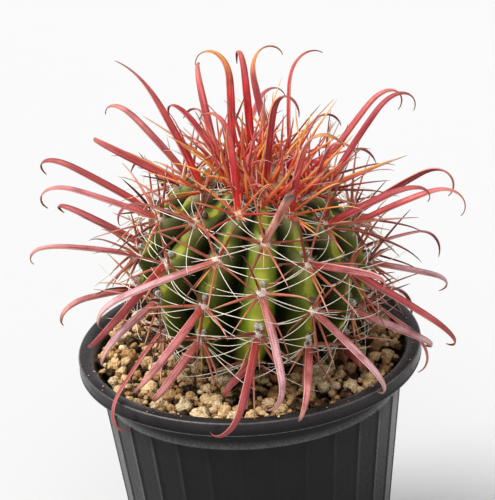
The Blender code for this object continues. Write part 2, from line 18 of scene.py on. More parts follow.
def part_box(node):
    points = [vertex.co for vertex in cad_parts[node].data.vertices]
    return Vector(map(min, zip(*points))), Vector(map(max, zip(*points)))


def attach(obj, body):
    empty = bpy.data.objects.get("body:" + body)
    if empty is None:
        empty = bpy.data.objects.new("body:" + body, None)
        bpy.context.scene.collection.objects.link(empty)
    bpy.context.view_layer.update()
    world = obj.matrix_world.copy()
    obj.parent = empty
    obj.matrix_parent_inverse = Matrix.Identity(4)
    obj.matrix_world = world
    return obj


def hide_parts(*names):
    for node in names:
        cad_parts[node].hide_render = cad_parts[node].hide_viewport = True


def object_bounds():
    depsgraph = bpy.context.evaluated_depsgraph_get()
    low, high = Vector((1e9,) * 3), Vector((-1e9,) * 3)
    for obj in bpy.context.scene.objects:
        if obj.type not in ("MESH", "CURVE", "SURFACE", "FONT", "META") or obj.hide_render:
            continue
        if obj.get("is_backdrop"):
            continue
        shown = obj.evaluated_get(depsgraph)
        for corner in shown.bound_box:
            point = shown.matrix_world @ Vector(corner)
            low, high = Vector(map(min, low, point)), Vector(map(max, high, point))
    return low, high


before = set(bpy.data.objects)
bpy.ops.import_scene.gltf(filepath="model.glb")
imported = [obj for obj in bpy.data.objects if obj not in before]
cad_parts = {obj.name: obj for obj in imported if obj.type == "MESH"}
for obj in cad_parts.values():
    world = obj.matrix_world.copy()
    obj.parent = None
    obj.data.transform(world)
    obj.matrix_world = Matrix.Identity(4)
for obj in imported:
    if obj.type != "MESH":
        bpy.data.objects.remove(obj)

cad_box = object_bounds()
BODY = "root"                       # nothing moves, so every piece rides on the one body
print("CAD box:", [round(side, 4) for side in cad_box[1] - cad_box[0]], "m")
print("CAD nodes:", len(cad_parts))

# %% [markdown]
# ## Small helpers
# Almost every piece here is worked out point by point, because a plant and a heap of stones follow
# rules better than they follow primitives. One helper turns lists of points and faces into a piece.
# A second writes a number at every point, such as how near it is to a rib's crest. The materials read
# those numbers, so a colour stays on its place from every side.

# %% Pieces from points and faces
def add_piece(name, vertices, faces, material, replaced=()):
    """Make a mesh piece that rides on the body and, if asked, stands for CAD nodes."""
    mesh = bpy.data.meshes.new(name)
    mesh.from_pydata(vertices, [], faces)
    mesh.materials.append(material)
    mesh.shade_smooth()
    piece = bpy.data.objects.new(name, mesh)
    bpy.context.scene.collection.objects.link(piece)
    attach(piece, BODY)
    if replaced:
        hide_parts(*replaced)
    print(f"{name}: {len(vertices)} points, {len(faces)} faces")
    return piece


def number_points(piece, numbers):
    """Write named numbers at the points of a piece, for its material to read."""
    for name, values in numbers.items():
        layer = piece.data.attributes.new(name, "FLOAT", "POINT")
        layer.data.foreach_set("value", values)


def blended(low, high, share):
    return low + (high - low) * share


def smooth_step(low, high, value):
    """0 below low, 1 above high, and an S-shaped rise between them."""
    share = min(1.0, max(0.0, (value - low) / (high - low)))
    return share * share * (3 - 2 * share)


# %% [markdown]
# ## Material helpers
# A material is a small graph of nodes. Writing each one node by node would hide what it says, so these
# helpers add the nodes that every finish here uses: a number read from the points, a noise, a colour
# ramp, a mix and a bump. Numbers that don't vary are set straight on the shader.

# %% Nodes by name
class Finish:
    """A Principled material while it is being put together."""

    def __init__(self, name, roughness, specular=0.5, coat=0.0):
        self.material = bpy.data.materials.new(name)
        self.material.use_nodes = True
        self.nodes = self.material.node_tree.nodes
        self.links = self.material.node_tree.links
        self.shader = self.nodes["Principled BSDF"]
        self.shader.inputs["Roughness"].default_value = roughness
        self.shader.inputs["Specular IOR Level"].default_value = specular
        self.shader.inputs["Coat Weight"].default_value = coat
        self.place = self.nodes.new("ShaderNodeTexCoord").outputs["Object"]

    def add(self, kind, inputs=(), **settings):
        """Add a node, set its options, and link or set its inputs."""
        node = self.nodes.new(kind)
        for name, value in settings.items():
            setattr(node, name, value)
        for name, value in dict(inputs).items():
            if isinstance(value, bpy.types.NodeSocket):
                self.links.new(value, node.inputs[name])
            else:
                node.inputs[name].default_value = value
        return node

    def number(self, name):
        return self.add("ShaderNodeAttribute", attribute_name=name).outputs["Fac"]

    def noise(self, size, detail=3.0, rough=0.55):
        """Noise whose blotches are about size metres across."""
        return self.add("ShaderNodeTexNoise", {"Vector": self.place, "Scale": 1 / size,
                                               "Detail": detail, "Roughness": rough}).outputs["Fac"]

    def pits(self, size):
        """0 in the middle of each cell of a cracked pattern, rising to its edges."""
        return self.add("ShaderNodeTexVoronoi", {"Vector": self.place,
                                                 "Scale": 1 / size}).outputs["Distance"]

    def span(self, value, low, high, to_low=0.0, to_high=1.0):
        """Stretch the values between low and high to a new span."""
        inputs = {"Value": value, "From Min": low, "From Max": high, "To Min": to_low,
                  "To Max": to_high}
        return self.add("ShaderNodeMapRange", inputs).outputs["Result"]

    def maths(self, operation, first, second=0.0):
        node = self.add("ShaderNodeMath", {0: first, 1: second}, operation=operation)
        return node.outputs[0]

    def ramp(self, value, *stops):
        """Colours along a value, given as (place, (red, green, blue))."""
        node = self.add("ShaderNodeValToRGB", {"Fac": value})
        marks = node.color_ramp.elements
        while len(marks) < len(stops):
            marks.new(0.5)
        for mark, (place, colour) in zip(marks, stops):
            mark.position = place
            mark.color = (*colour, 1)
        return node.outputs["Color"]

    def mix(self, share, first, second):
        """Go from the first colour to the second by a share."""
        node = self.add("ShaderNodeMix", data_type="RGBA", blend_type="MIX")
        sockets = [socket for socket in node.inputs if socket.enabled]
        for socket, value in zip(sockets, (share, first, second)):
            if isinstance(value, bpy.types.NodeSocket):
                self.links.new(value, socket)
            else:
                socket.default_value = value if isinstance(value, float) else (*value, 1)
        return next(socket for socket in node.outputs if socket.enabled)

    def colour(self, socket):
        self.links.new(socket, self.shader.inputs["Base Color"])

    def roughness(self, socket):
        self.links.new(socket, self.shader.inputs["Roughness"])

    def bump(self, height, depth, under=None):
        """Raise the surface by up to depth metres; under is an earlier bump to build on."""
        inputs = {"Height": height, "Distance": depth}
        if under:
            inputs["Normal"] = under
        normal = self.add("ShaderNodeBump", inputs).outputs["Normal"]
        self.links.new(normal, self.shader.inputs["Normal"])
        return normal


# %% [markdown]
# ## The pot's plastic
# A nursery pot is thin black polypropylene, injection moulded. New, it is satin; handled and watered,
# it gets fine scuffs and a little dust. The collar's top is paler, from dust together with a painted
# sheen, and its rounded edges and ledges carry paler lines, rubbed wear together with a painted
# highlight. So the colour is nearly black, noise moves both the colour and the roughness, and a fine
# grain breaks the reflections.

# %% Black plastic
def black_plastic():
    finish = Finish("black_plastic", 0.28, specular=0.31)
    cloud = finish.noise(0.018, detail=4.0)
    scuffs = finish.noise(0.0016, detail=5.0, rough=0.7)
    base = finish.ramp(cloud, (0.3, (0.0030, 0.0024, 0.0026)), (0.7, (0.0065, 0.0052, 0.0056)))
    # dust together with a painted sheen, mostly on the collar's top
    dust_and_painted_sheen = finish.maths("MULTIPLY", finish.number("upward"), finish.span(cloud, 0.2, 0.8, 0.2, 0.7))
    dust_and_painted_highlight = finish.mix(dust_and_painted_sheen, base, (0.075, 0.066, 0.068))
    # paler lines on the collar's edges: rubbed wear together with a painted highlight
    worn = finish.maths("MULTIPLY", finish.number("worn"), finish.span(scuffs, 0.3, 0.6, 0.35, 0.9))
    finish.colour(finish.mix(worn, dust_and_painted_highlight, (0.13, 0.125, 0.125)))
    finish.roughness(finish.span(scuffs, 0.3, 0.75, 0.19, 0.34))
    grain = finish.bump(finish.noise(0.0007, detail=2.0), 0.00002)
    finish.bump(cloud, 0.0002, under=grain)
    return finish.material


# %% [markdown]
# ## The pot's shape
# The pot is a turned shape, so its outline is a short list of heights and radii, with arcs where the
# mould is rounded. Its wall isn't plain, though. Thirty thin upright ribs divide it into panels that
# are very slightly dished. One function gives the wall's relief at any angle, and the whole pot is
# then one skin: down the outside, under the base, and up the inside.

# %% Pot sizes
pot_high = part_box("nursery_pot")[1]
RIM_TOP = pot_high.z
RIM_RADIUS = pot_high.x
RIM_TOP_WIDTH = 0.0054              # flat top of the collar
RIM_ROUND = 0.0009
LIP_DEPTH = 0.0060
LIP_BEAD = 0.00035                  # the fine bead along the lip's lower edge
NECK_SETBACK = 0.0075               # wall outside under the lip, in from the rim's edge
WALL_TAPER = 0.119
POT_WALL = 0.0015
POT_BASE = 0.0025
FOOT_ROUND = 0.0015
PANELS = 30
PANEL_TOP = RIM_TOP - 0.0167        # the panels stop here, at a fine ledge
PANEL_FOOT = 0.006
PANEL_LINE = 0.00032                # how far the thin ribs between panels stand out
PANEL_DISH = 0.00022
LINE_ANGLES = (0.0, 0.45, 0.9, 2.4, 4.2, 6.0, 7.8, 9.6, 11.1, 11.55)  # degrees across one panel
WEAR_AND_HIGHLIGHT_ROWS = (4, 5, 6, 11, 12, 22)   # rows of the outline on edges that carry rubbed wear and a painted highlight
DRAIN_HOLES = 6
DRAIN_RADIUS = 0.0040
DRAIN_CIRCLE = 0.034


def wall_radius(height):
    """Outside radius of the pot's wall at a height above the ground."""
    return RIM_RADIUS - NECK_SETBACK - WALL_TAPER * (RIM_TOP - LIP_DEPTH - height)


def mouth_radius(height):
    """Inside radius of the pot, which flares to the collar above the lip's lower edge."""
    below_lip = RIM_TOP - LIP_DEPTH
    inside = wall_radius(min(height, below_lip)) - POT_WALL
    flare = max(0.0, (height - below_lip) / LIP_DEPTH)
    return inside + flare * (RIM_RADIUS - RIM_TOP_WIDTH - inside)


def panel_relief(degrees, height):
    """How far the wall stands out, for the thin ribs and dished panels."""
    if not PANEL_FOOT < height < PANEL_TOP:
        return 0.0
    across = degrees % (360 / PANELS) / (360 / PANELS)
    from_line = min(across, 1 - across) * 360 / PANELS
    line = PANEL_LINE * (1 - smooth_step(0.2, 0.9, from_line))
    return line - PANEL_DISH * math.sin(math.pi * across) ** 2


# %% The pot's outline
def arc(centre_radius, centre_height, size, start, end, steps):
    """Points of a rounded edge, from one angle to another, in degrees."""
    angles = [math.radians(blended(start, end, i / steps)) for i in range(steps + 1)]
    return [(centre_radius + size * math.cos(a), centre_height + size * math.sin(a))
            for a in angles]


def pot_outline():
    lip_low = RIM_TOP - LIP_DEPTH
    crown = RIM_TOP - 0.0002        # the collar's top is slightly domed
    outline = [(mouth_radius(RIM_TOP), RIM_TOP - 0.0006), (mouth_radius(RIM_TOP) + 0.0006, crown),
               (RIM_RADIUS - 0.0030, RIM_TOP)]
    outline += arc(RIM_RADIUS - RIM_ROUND, RIM_TOP - RIM_ROUND, RIM_ROUND, 80, 0, 5)
    outline += [(RIM_RADIUS - 0.0003, lip_low + 0.0016)]
    outline += arc(RIM_RADIUS - 0.0004, lip_low + LIP_BEAD, LIP_BEAD, 60, -90, 5)
    outline += [(RIM_RADIUS - POT_WALL, lip_low), (RIM_RADIUS - POT_WALL, RIM_TOP - 0.0022),
                (wall_radius(lip_low) + 0.0012, RIM_TOP - 0.0026),
                (wall_radius(lip_low) + 0.0002, lip_low + 0.0012), (wall_radius(lip_low), lip_low)]
    for height in (PANEL_TOP + 0.0042, PANEL_TOP + 0.0006):
        outline.append((wall_radius(height), height))
    outline.append((wall_radius(PANEL_TOP) - 0.00025, PANEL_TOP + 0.0002))
    steps = 14
    for i in range(steps + 1):
        height = blended(PANEL_TOP - 0.0004, PANEL_FOOT + 0.0004, i / steps)
        outline.append((wall_radius(height) - 0.00005, height))
    outline += [(wall_radius(PANEL_FOOT), PANEL_FOOT - 0.0002)]
    outline += arc(wall_radius(0) - FOOT_ROUND, FOOT_ROUND, FOOT_ROUND, 0, -90, 5)
    outline += [(0.044, 0.0), (0.024, 0.0), (0.012, 0.0), (0.012, POT_BASE), (0.024, POT_BASE),
                (0.044, POT_BASE)]
    outline += arc(mouth_radius(POT_BASE) - 0.0012, POT_BASE + 0.0012, 0.0012, -90, 0, 3)
    for height in (0.03, 0.06, 0.09, lip_low):
        outline.append((mouth_radius(height), height))
    outline.append((mouth_radius(RIM_TOP - 0.003), RIM_TOP - 0.003))
    return outline


print("points in the pot's outline:", len(pot_outline()))

# %% [markdown]
# ## The pot's skin
# Turning the outline round the pot's axis gives rings of points, and quads join each ring to the next.
# Only the part outside the base gets the wall's relief. The rings at the middle of the base are closed
# with fans of triangles. Points on the collar's top are numbered for dust and a painted sheen, and
# points on its edges for rubbed wear and a painted highlight.

# %% The pot's skin
def make_pot(material):
    outline = pot_outline()
    angles = [panel * 360 / PANELS + part for panel in range(PANELS) for part in LINE_ANGLES]
    vertices, faces, upward, worn = [], [], [], []
    base_start = next(i for i, (radius, height) in enumerate(outline) if height == 0.0)
    for row, (radius, height) in enumerate(outline):
        for degrees in angles:
            relief = panel_relief(degrees, height) if row < base_start else 0.0
            turn = math.radians(degrees)
            vertices.append(((radius + relief) * math.cos(turn), (radius + relief) * math.sin(turn),
                             height))
            # upward marks the collar's top for dust and a painted sheen; worn marks edges for rubbed
            # wear and a painted highlight
            upward.append(1.0 if height > RIM_TOP - 0.001 else 0.1)
            worn.append(1.0 if row in WEAR_AND_HIGHLIGHT_ROWS else 0.0)
    count, rows = len(angles), len(outline)
    under = next(i for i, point in enumerate(outline) if point == (0.012, 0.0))
    for row in range(rows):
        below = (row + 1) % rows
        if row == under:
            continue
        for i in range(count):
            j = (i + 1) % count
            faces.append((row * count + i, row * count + j, below * count + j, below * count + i))
    for row, height, turned in ((under, 0.0, 1), (under + 1, POT_BASE, -1)):
        middle = len(vertices)
        vertices.append((0.0, 0.0, height))
        upward.append(0.0)
        worn.append(0.0)
        for i in range(count):
            pair = (row * count + i, row * count + (i + 1) % count)
            faces.append((*pair[::turned], middle))
    pot = add_piece("pot_shell", vertices, faces, material, ["nursery_pot"])
    number_points(pot, {"upward": upward, "worn": worn})
    return pot


pot = make_pot(black_plastic())

# %% [markdown]
# ## The drain holes
# Water leaves through six round holes in the base. They could be worked into the rings of points, but
# a boolean cut with six short cylinders is simpler, and its result is applied, so no tool is left.

# %% Drain holes
def drill(piece, holes):
    """Cut round holes through a piece, each given as (centre, radius, depth)."""
    drills = bmesh.new()
    for centre, radius, depth in holes:
        bmesh.ops.create_cone(drills, cap_ends=True, segments=24, radius1=radius, radius2=radius,
                              depth=depth, matrix=Matrix.Translation(centre))
    mesh = bpy.data.meshes.new("drills")
    drills.to_mesh(mesh)
    drills.free()
    tool = bpy.data.objects.new("drills", mesh)
    bpy.context.scene.collection.objects.link(tool)
    cut = piece.modifiers.new("holes", "BOOLEAN")
    cut.operation = "DIFFERENCE"
    cut.solver = "EXACT"
    cut.object = tool
    bpy.context.view_layer.update()
    shaped = piece.evaluated_get(bpy.context.evaluated_depsgraph_get())
    result = bpy.data.meshes.new_from_object(shaped)
    piece.modifiers.clear()
    piece.data = result
    bpy.data.objects.remove(tool)


drain_spots = []
for i in range(DRAIN_HOLES):
    turn = math.tau * (i + 0.5) / DRAIN_HOLES
    drain_spots.append(Vector((DRAIN_CIRCLE * math.cos(turn), DRAIN_CIRCLE * math.sin(turn), 0)))
drill(pot, [(spot, DRAIN_RADIUS, 4 * POT_BASE) for spot in drain_spots])
print("drain holes cut:", DRAIN_HOLES)

# %% [markdown]
# ## Where the stem stands
# The stem is a flattened ball that leans a little. Everything that grows on it is placed by latitude
# above its widest circle and by azimuth to the right of its front, as on a globe. These functions
# turn such an address into a point and into the directions outward, towards the crown and sideways.

# %% The stem's frame
GRAVEL_TOP = RIM_TOP - 0.0030
GRAVEL_LUMP = 0.0009
RIBS = 13
STEM_RADIUS = 0.046
STEM_HALF_HEIGHT = 0.040
STEM_SUNK = 0.0025
STEM_CENTRE = Vector((0.0035, -0.0010, GRAVEL_TOP + STEM_HALF_HEIGHT - STEM_SUNK))
STEM_AXIS = Vector((0.17, -0.15, 1.0)).normalized()
STEM_RIGHT = (Vector((1, 0, 0)) - STEM_AXIS.x * STEM_AXIS).normalized()
STEM_BACK = STEM_AXIS.cross(STEM_RIGHT)


def stem_point(latitude, azimuth, share=1.0):
    """A point on the ball; share below 1 draws it in towards the axis."""
    across = STEM_RADIUS * share * math.cos(latitude)
    along = STEM_HALF_HEIGHT * math.sin(latitude)
    level = STEM_RIGHT * math.sin(azimuth) - STEM_BACK * math.cos(azimuth)
    return STEM_CENTRE + level * across + STEM_AXIS * along


def stem_directions(latitude, azimuth):
    """Outward, crownward and rightward directions on the stem's surface."""
    level = STEM_RIGHT * math.sin(azimuth) - STEM_BACK * math.cos(azimuth)
    out = (level * math.cos(latitude) / STEM_RADIUS
           + STEM_AXIS * math.sin(latitude) / STEM_HALF_HEIGHT).normalized()
    crownward = (STEM_AXIS - STEM_AXIS.dot(out) * out).normalized()
    return out, crownward, crownward.cross(out)


# %% [markdown]
# ## Where the areoles sit
# An areole is the woolly cushion that all of a cactus's spines grow from. They sit on the rib crests.
# Neighbouring ribs carry them at different heights, because on the real plant they spiral round.
# A list of small records, one for each areole, is all that the later steps need. Its age runs from 0
# at the crown to 1 at the root, and its seed gives all that grows from it habits of its own.

# %% Areoles, rib by rib
FIRST_AREOLE = 63.8
AREOLE_STEP = 29.3
AREOLE_CLOSING = 1.27
LAST_AREOLE = 3.65
CROWN_AREOLE = -0.48
PHYLLOTAXIS = 6
YOUNG_LATITUDE = 82                 # where an areole would be as young as can be
AGE_SPAN = 105                      # degrees further down, it is as old as can be
AREOLE_HEIGHT = 0.0014
GAP = 0.0003


class Areole:
    """One cushion: its rib, its row, its place and its three directions."""

    def __init__(self, rib, row, steps):
        self.rib, self.row = rib, row
        degrees = FIRST_AREOLE - AREOLE_STEP * steps + AREOLE_CLOSING * steps ** 2
        self.latitude = math.radians(degrees)
        self.azimuth = math.tau * rib / RIBS
        self.out, self.crownward, self.right = stem_directions(self.latitude, self.azimuth)
        self.foot = stem_point(self.latitude, self.azimuth) + self.out * GAP
        self.top = self.foot + self.out * AREOLE_HEIGHT
        self.node = "areole_rib%02d_%d" % (rib % RIBS + 1, row + 2)
        self.age = min(1.0, max(0.0, (YOUNG_LATITUDE - degrees) / AGE_SPAN))
        self.seed = 17 * (rib + 7) + 5 * (row + 2)


areoles = []
for rib in range(RIBS):
    signed = rib if rib <= RIBS // 2 else rib - RIBS
    phase = PHYLLOTAXIS * (signed - 1) / RIBS % 1
    for row in range(-1, 4):
        if CROWN_AREOLE <= row + phase <= LAST_AREOLE:
            areoles.append(Areole(signed, row, row + phase))
missing = [areole.node for areole in areoles if areole.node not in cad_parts]
print("areoles:", len(areoles), "not in the CAD model:", missing)

# %% [markdown]
# ## The stem's skin
# The stem is 13 ribs round one body. Each rib is a ridge with a narrow, smooth crest, straight flanks
# and a tight groove. It swells into a low bump under every areole and is pinched between them. The
# skin is one grid of points over the ball, finer at the crests and in the grooves. Four numbers at
# each point tell the material where it is: near a crest, on a bump, how high, and how much painted
# sunlight its rib gets.

# %% Rib profile and bumps
RIB_DEPTH = 0.27
GROOVE_FADE = 0.6
CREST_ROUND = 0.30              # half width of the rounded crest, as a share of half a rib
FLANK_BULGE = 1.25              # more than 1 fills out the flanks and narrows the grooves
BUMP_HEIGHT = 0.0006            # swelling under an areole near the root
BUMP_HEIGHT_CROWN = 0.0011      # and near the crown
BUMP_LENGTH = 0.0050
BUMP_WIDTH = 0.0042
PINCH = 0.0016                  # how far the crest draws in above each areole near the root
PINCH_CROWN = 0.0034            # and near the crown, where it almost becomes separate bumps
PINCH_PLACE = 0.0078
ACROSS_RIB = (-0.46, -0.40, -0.33, -0.26, -0.20, -0.145, -0.10, -0.065, -0.035, -0.012, 0.012,
              0.035, 0.065, 0.10, 0.145, 0.20, 0.26, 0.33, 0.40, 0.46, 0.49, 0.51)
SUNLIT_RIB = 0                    # the front rib gets painted sunlight and is paler than the others


def off_crest(turns):
    """0 on a crest and 1 in a groove, rounded at the crest."""
    off = 2 * abs(turns - round(turns))
    rounded = math.hypot(off, CREST_ROUND) - CREST_ROUND
    return (rounded / (math.hypot(1, CREST_ROUND) - CREST_ROUND)) ** FLANK_BULGE


areoles_of_rib = {}
for areole in areoles:
    areoles_of_rib.setdefault(areole.rib % RIBS, []).append(areole)


def swelling(latitude, turns):
    """Metres that the skin stands out for the bumps, and the share of a bump at this point."""
    rise, share = 0.0, 0.0
    across = (turns - round(turns)) * math.tau / RIBS * STEM_RADIUS * math.cos(latitude)
    for areole in areoles_of_rib[round(turns) % RIBS]:
        along = (latitude - areole.latitude) * STEM_HALF_HEIGHT
        if abs(along) > 4 * BUMP_LENGTH:
            continue
        high = max(0.0, math.sin(areole.latitude))
        height = blended(BUMP_HEIGHT, BUMP_HEIGHT_CROWN, high)
        side = (across / BUMP_WIDTH) ** 2
        swell = math.exp(-((along + 0.0012) / BUMP_LENGTH) ** 2 - side)
        pinch = math.exp(-((along - PINCH_PLACE) / (0.6 * BUMP_LENGTH)) ** 2 - side)
        rise += height * swell - blended(PINCH, PINCH_CROWN, high) * pinch
        share = max(share, swell)
    return rise, share


print("ribs with areoles:", len(areoles_of_rib))

# %% [markdown]
# ## The stem's grid
# Rows of points at even steps of latitude cross columns that are closer together where a rib bends
# sharply. Two noises, one slow and one fine, keep the skin from looking machined.

# %% The stem's grid
LATITUDE_STEP = 1.4
TOP_LATITUDE = 87.0
ROOT_LATITUDE = -68.0
SLOW_RIPPLE = 0.00035
FINE_RIPPLE = 0.00012


def stem_grid():
    turns = [rib + across for rib in range(RIBS) for across in ACROSS_RIB]
    latitudes = []
    degrees = TOP_LATITUDE
    while degrees > ROOT_LATITUDE:
        latitudes.append(math.radians(degrees))
        degrees -= LATITUDE_STEP
    vertices, numbers = [], {"crest": [], "bump": [], "height": [], "pale": []}
    for latitude in latitudes:
        fade = math.cos(latitude) ** GROOVE_FADE
        for turn in turns:
            off = off_crest(turn)
            rise, bump = swelling(latitude, turn)
            azimuth = math.tau * turn / RIBS
            point = stem_point(latitude, azimuth, 1 - RIB_DEPTH * fade * off)
            ripple = (SLOW_RIPPLE * noise.noise(point * 140)
                      + FINE_RIPPLE * noise.noise(point * 600))
            out = stem_directions(latitude, azimuth)[0]
            vertices.append(point + out * (rise + ripple))
            numbers["crest"].append(1 - off)
            numbers["bump"].append(bump)
            numbers["height"].append(math.sin(latitude))
            rib = round(turn) % RIBS
            # pale: the share of painted sunlight on each rib, full on the front rib and a little on
            # the others
            numbers["pale"].append(1.0 if rib == SUNLIT_RIB else 0.12 + 0.12 * math.sin(2.4 * rib))
    return vertices, numbers, len(turns)


# %% [markdown]
# ## The stem's root
# Below the grid the skin narrows to a root collar and a taproot, which straightens until it points
# down. Both are hidden by the gravel, but they belong to the plant, and they close its skin.

# %% Stem and root
ROOT_RADIUS = 0.012
ROOT_TIP_RADIUS = 0.003
ROOT_LENGTH = 0.045
ROOT_SHARES = (0.04, 0.12, 0.25, 0.4, 0.6, 0.8, 1.0)


def make_stem(material):
    vertices, numbers, count = stem_grid()
    turns = [math.tau * (rib + across) / RIBS for rib in range(RIBS) for across in ACROSS_RIB]
    start = STEM_CENTRE + STEM_AXIS * STEM_HALF_HEIGHT * math.sin(math.radians(ROOT_LATITUDE))
    for share in ROOT_SHARES:
        swing = (STEM_AXIS * (1 - share) + Vector((0, 0, 1)) * share).normalized()
        centre = start - swing * ROOT_LENGTH * share
        radius = blended(ROOT_RADIUS, ROOT_TIP_RADIUS, share)
        for turn in turns:
            spoke = STEM_RIGHT * math.sin(turn) - STEM_BACK * math.cos(turn)
            wobble = 1 + 0.12 * math.sin(3 * turn + 9 * share)
            vertices.append(centre + spoke * radius * wobble)
    rows = len(vertices) // count
    faces = []
    for row in range(rows - 1):
        for i in range(count):
            j = (i + 1) % count
            faces.append((row * count + i, (row + 1) * count + i, (row + 1) * count + j,
                          row * count + j))
    top, tip = len(vertices), len(vertices) + 1
    vertices += [stem_point(math.pi / 2, 0.0), centre - Vector((0, 0, radius))]
    last = (rows - 1) * count
    for i in range(count):
        j = (i + 1) % count
        faces += [(i, j, top), (last + j, last + i, tip)]
    for name, at_end in (("crest", 0.3), ("bump", 0.0), ("height", -1.0), ("pale", 0.3)):
        numbers[name] += [at_end] * (len(vertices) - len(numbers[name]))
    stem = add_piece("ribbed_stem", vertices, faces, material, ["stem"])
    number_points(stem, numbers)
    return stem


# %% [markdown]
# ## The stem's colour
# Each crest is a pale yellow-green band, a painted highlight, the flanks are a deeper olive, and the
# grooves are almost black-green with painted shade. Near the crown the bumps are paler and greyer,
# from wax. Two ramps over the crest number paint this light and shade, a shaded one and a sunlit one,
# and each rib mixes the two in its own way, the front rib taking the sunlit one as a painted pool of
# light. Noise breaks the bands' edges, adds pale flecks and moves the gloss.

# %% Stem skin
def stem_skin():
    finish = Finish("stem_skin", 0.44, specular=0.20, coat=0.03)
    finish.shader.inputs["Coat Roughness"].default_value = 0.3
    crest = finish.number("crest")
    blotch = finish.noise(0.009, detail=4.0)
    wander = finish.maths("MULTIPLY", finish.maths("SUBTRACT", blotch, 0.5), 0.34)
    place = finish.maths("ADD", crest, wander)
    # shaded ramp: painted shade makes the grooves near black, the flanks deep green, and a painted
    # highlight tops the crest
    painted_light_bands = finish.ramp(place, (0.00, (0.003, 0.004, 0.0005)), (0.45, (0.011, 0.016, 0.001)),
                        (0.76, (0.036, 0.047, 0.002)), (0.95, (0.092, 0.118, 0.005)),
                        (1.00, (0.350, 0.370, 0.040)))
    sunlit = finish.ramp(place, (0.00, (0.006, 0.009, 0.0006)), (0.36, (0.029, 0.044, 0.002)),
                         (0.52, (0.125, 0.185, 0.010)), (0.85, (0.250, 0.320, 0.024)),
                         (1.00, (0.470, 0.480, 0.070)))
    # mix in the sunlit ramp by the pale number: painted sunlight, strongest on the front rib
    painted_light_bands = finish.mix(finish.number("pale"), painted_light_bands, sunlit)
    waxy = finish.maths("MULTIPLY", finish.number("bump"),
                        finish.span(finish.number("height"), 0.20, 0.62))
    green = finish.mix(finish.maths("MULTIPLY", waxy, 0.90), painted_light_bands, (0.42, 0.40, 0.20))
    old = finish.maths("MULTIPLY", finish.span(finish.number("height"), -0.35, -0.75),
                       finish.span(blotch, 0.45, 0.62))
    green = finish.mix(finish.maths("MULTIPLY", old, 0.55), green, (0.20, 0.15, 0.07))
    flecks = finish.span(finish.noise(0.0009, detail=2.0), 0.62, 0.72)
    green = finish.mix(finish.maths("MULTIPLY", flecks, 0.22), green, (0.42, 0.45, 0.22))
    finish.colour(green)
    finish.roughness(finish.span(blotch, 0.3, 0.7, 0.38, 0.60))
    grain = finish.bump(finish.noise(0.0011, detail=3.0), 0.00006)
    finish.bump(blotch, 0.0003, under=grain)
    return finish.material


stem = make_stem(stem_skin())

# %% [markdown]
# ## What fills the pot
# Under the stones is dark potting mix. The CAD model's solid for it has the right shape and is hidden
# from above, so it stays and only gets a finish: brown-black, crumbly, with pale bits of bark.

# %% Potting mix
def potting_mix():
    finish = Finish("potting_mix", 0.95, specular=0.2)
    crumbs = finish.noise(0.003, detail=6.0, rough=0.7)
    finish.colour(finish.ramp(crumbs, (0.35, (0.012, 0.008, 0.005)), (0.55, (0.035, 0.022, 0.013)),
                              (0.72, (0.12, 0.08, 0.05))))
    finish.bump(crumbs, 0.0015)
    return finish.material


mix_finish = potting_mix()
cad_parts["potting_mix"].data.materials.clear()
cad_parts["potting_mix"].data.materials.append(mix_finish)

# %% [markdown]
# ## One stone
# Pumice gravel is frothy rock, tumbled round. A stone is a ball that is squashed differently along its
# three axes, dented by a slow noise and roughened by a quick one. Each stone also carries a tone, so
# that one material can make most of them tan, some cream, and a few nearly black.

# %% Stones
ball_cache = {}


def ball(detail):
    """Points and faces of an icosphere of radius 1."""
    if detail not in ball_cache:
        bm = bmesh.new()
        bmesh.ops.create_icosphere(bm, subdivisions=detail, radius=1.0)
        bm.verts.index_update()
        ball_cache[detail] = ([v.co.copy() for v in bm.verts],
                              [tuple(v.index for v in face.verts) for face in bm.faces])
        bm.free()
    return ball_cache[detail]


class Heap:
    """Many small lumps joined into one mesh, each with its own tone."""

    def __init__(self):
        self.vertices, self.faces, self.tones, self.dust_and_highlight_shares = [], [], [], []

    def lump(self, centre, sizes, turn, detail, dent, tone, seed):
        points, faces = ball(detail)
        first = len(self.vertices)
        shift = Vector((seed * 3.17, seed * 1.73, seed * 2.41))
        spin = turn.to_matrix()
        for point in points:
            slow = noise.noise(point * 1.1 + shift)
            middle = noise.noise(point * 2.7 + shift)
            quick = noise.noise(point * 6.5 + shift)
            reach = 1 + dent * (0.9 * slow + 0.55 * middle + 0.22 * quick)
            local = Vector((point.x * sizes[0], point.y * sizes[1], point.z * sizes[2])) * reach
            self.vertices.append(centre + spin @ local)
            # the hollow number is high where the stone bulges out; the pumice paints pale dust and a
            # highlight there
            self.dust_and_highlight_shares.append(0.5 + middle * 0.5 + quick * 0.4)
        self.faces += [tuple(first + i for i in face) for face in faces]
        self.tones += [tone] * len(points)

    def make(self, name, material, slot, replaced=()):
        piece = add_piece(name, self.vertices, self.faces, material, replaced)
        number_points(piece, {"tone": self.tones, "hollow": self.dust_and_highlight_shares})
        return piece


# %% [markdown]
# ## The gravel's finish
# The stones' colour runs from nearly black over brown and tan to cream, by tone. Slow noise stains
# them, small cells make the open pores, darkened inside with painted shade, and pale dust together
# with a painted highlight lies where a stone bulges. Pumice has no gloss at all.

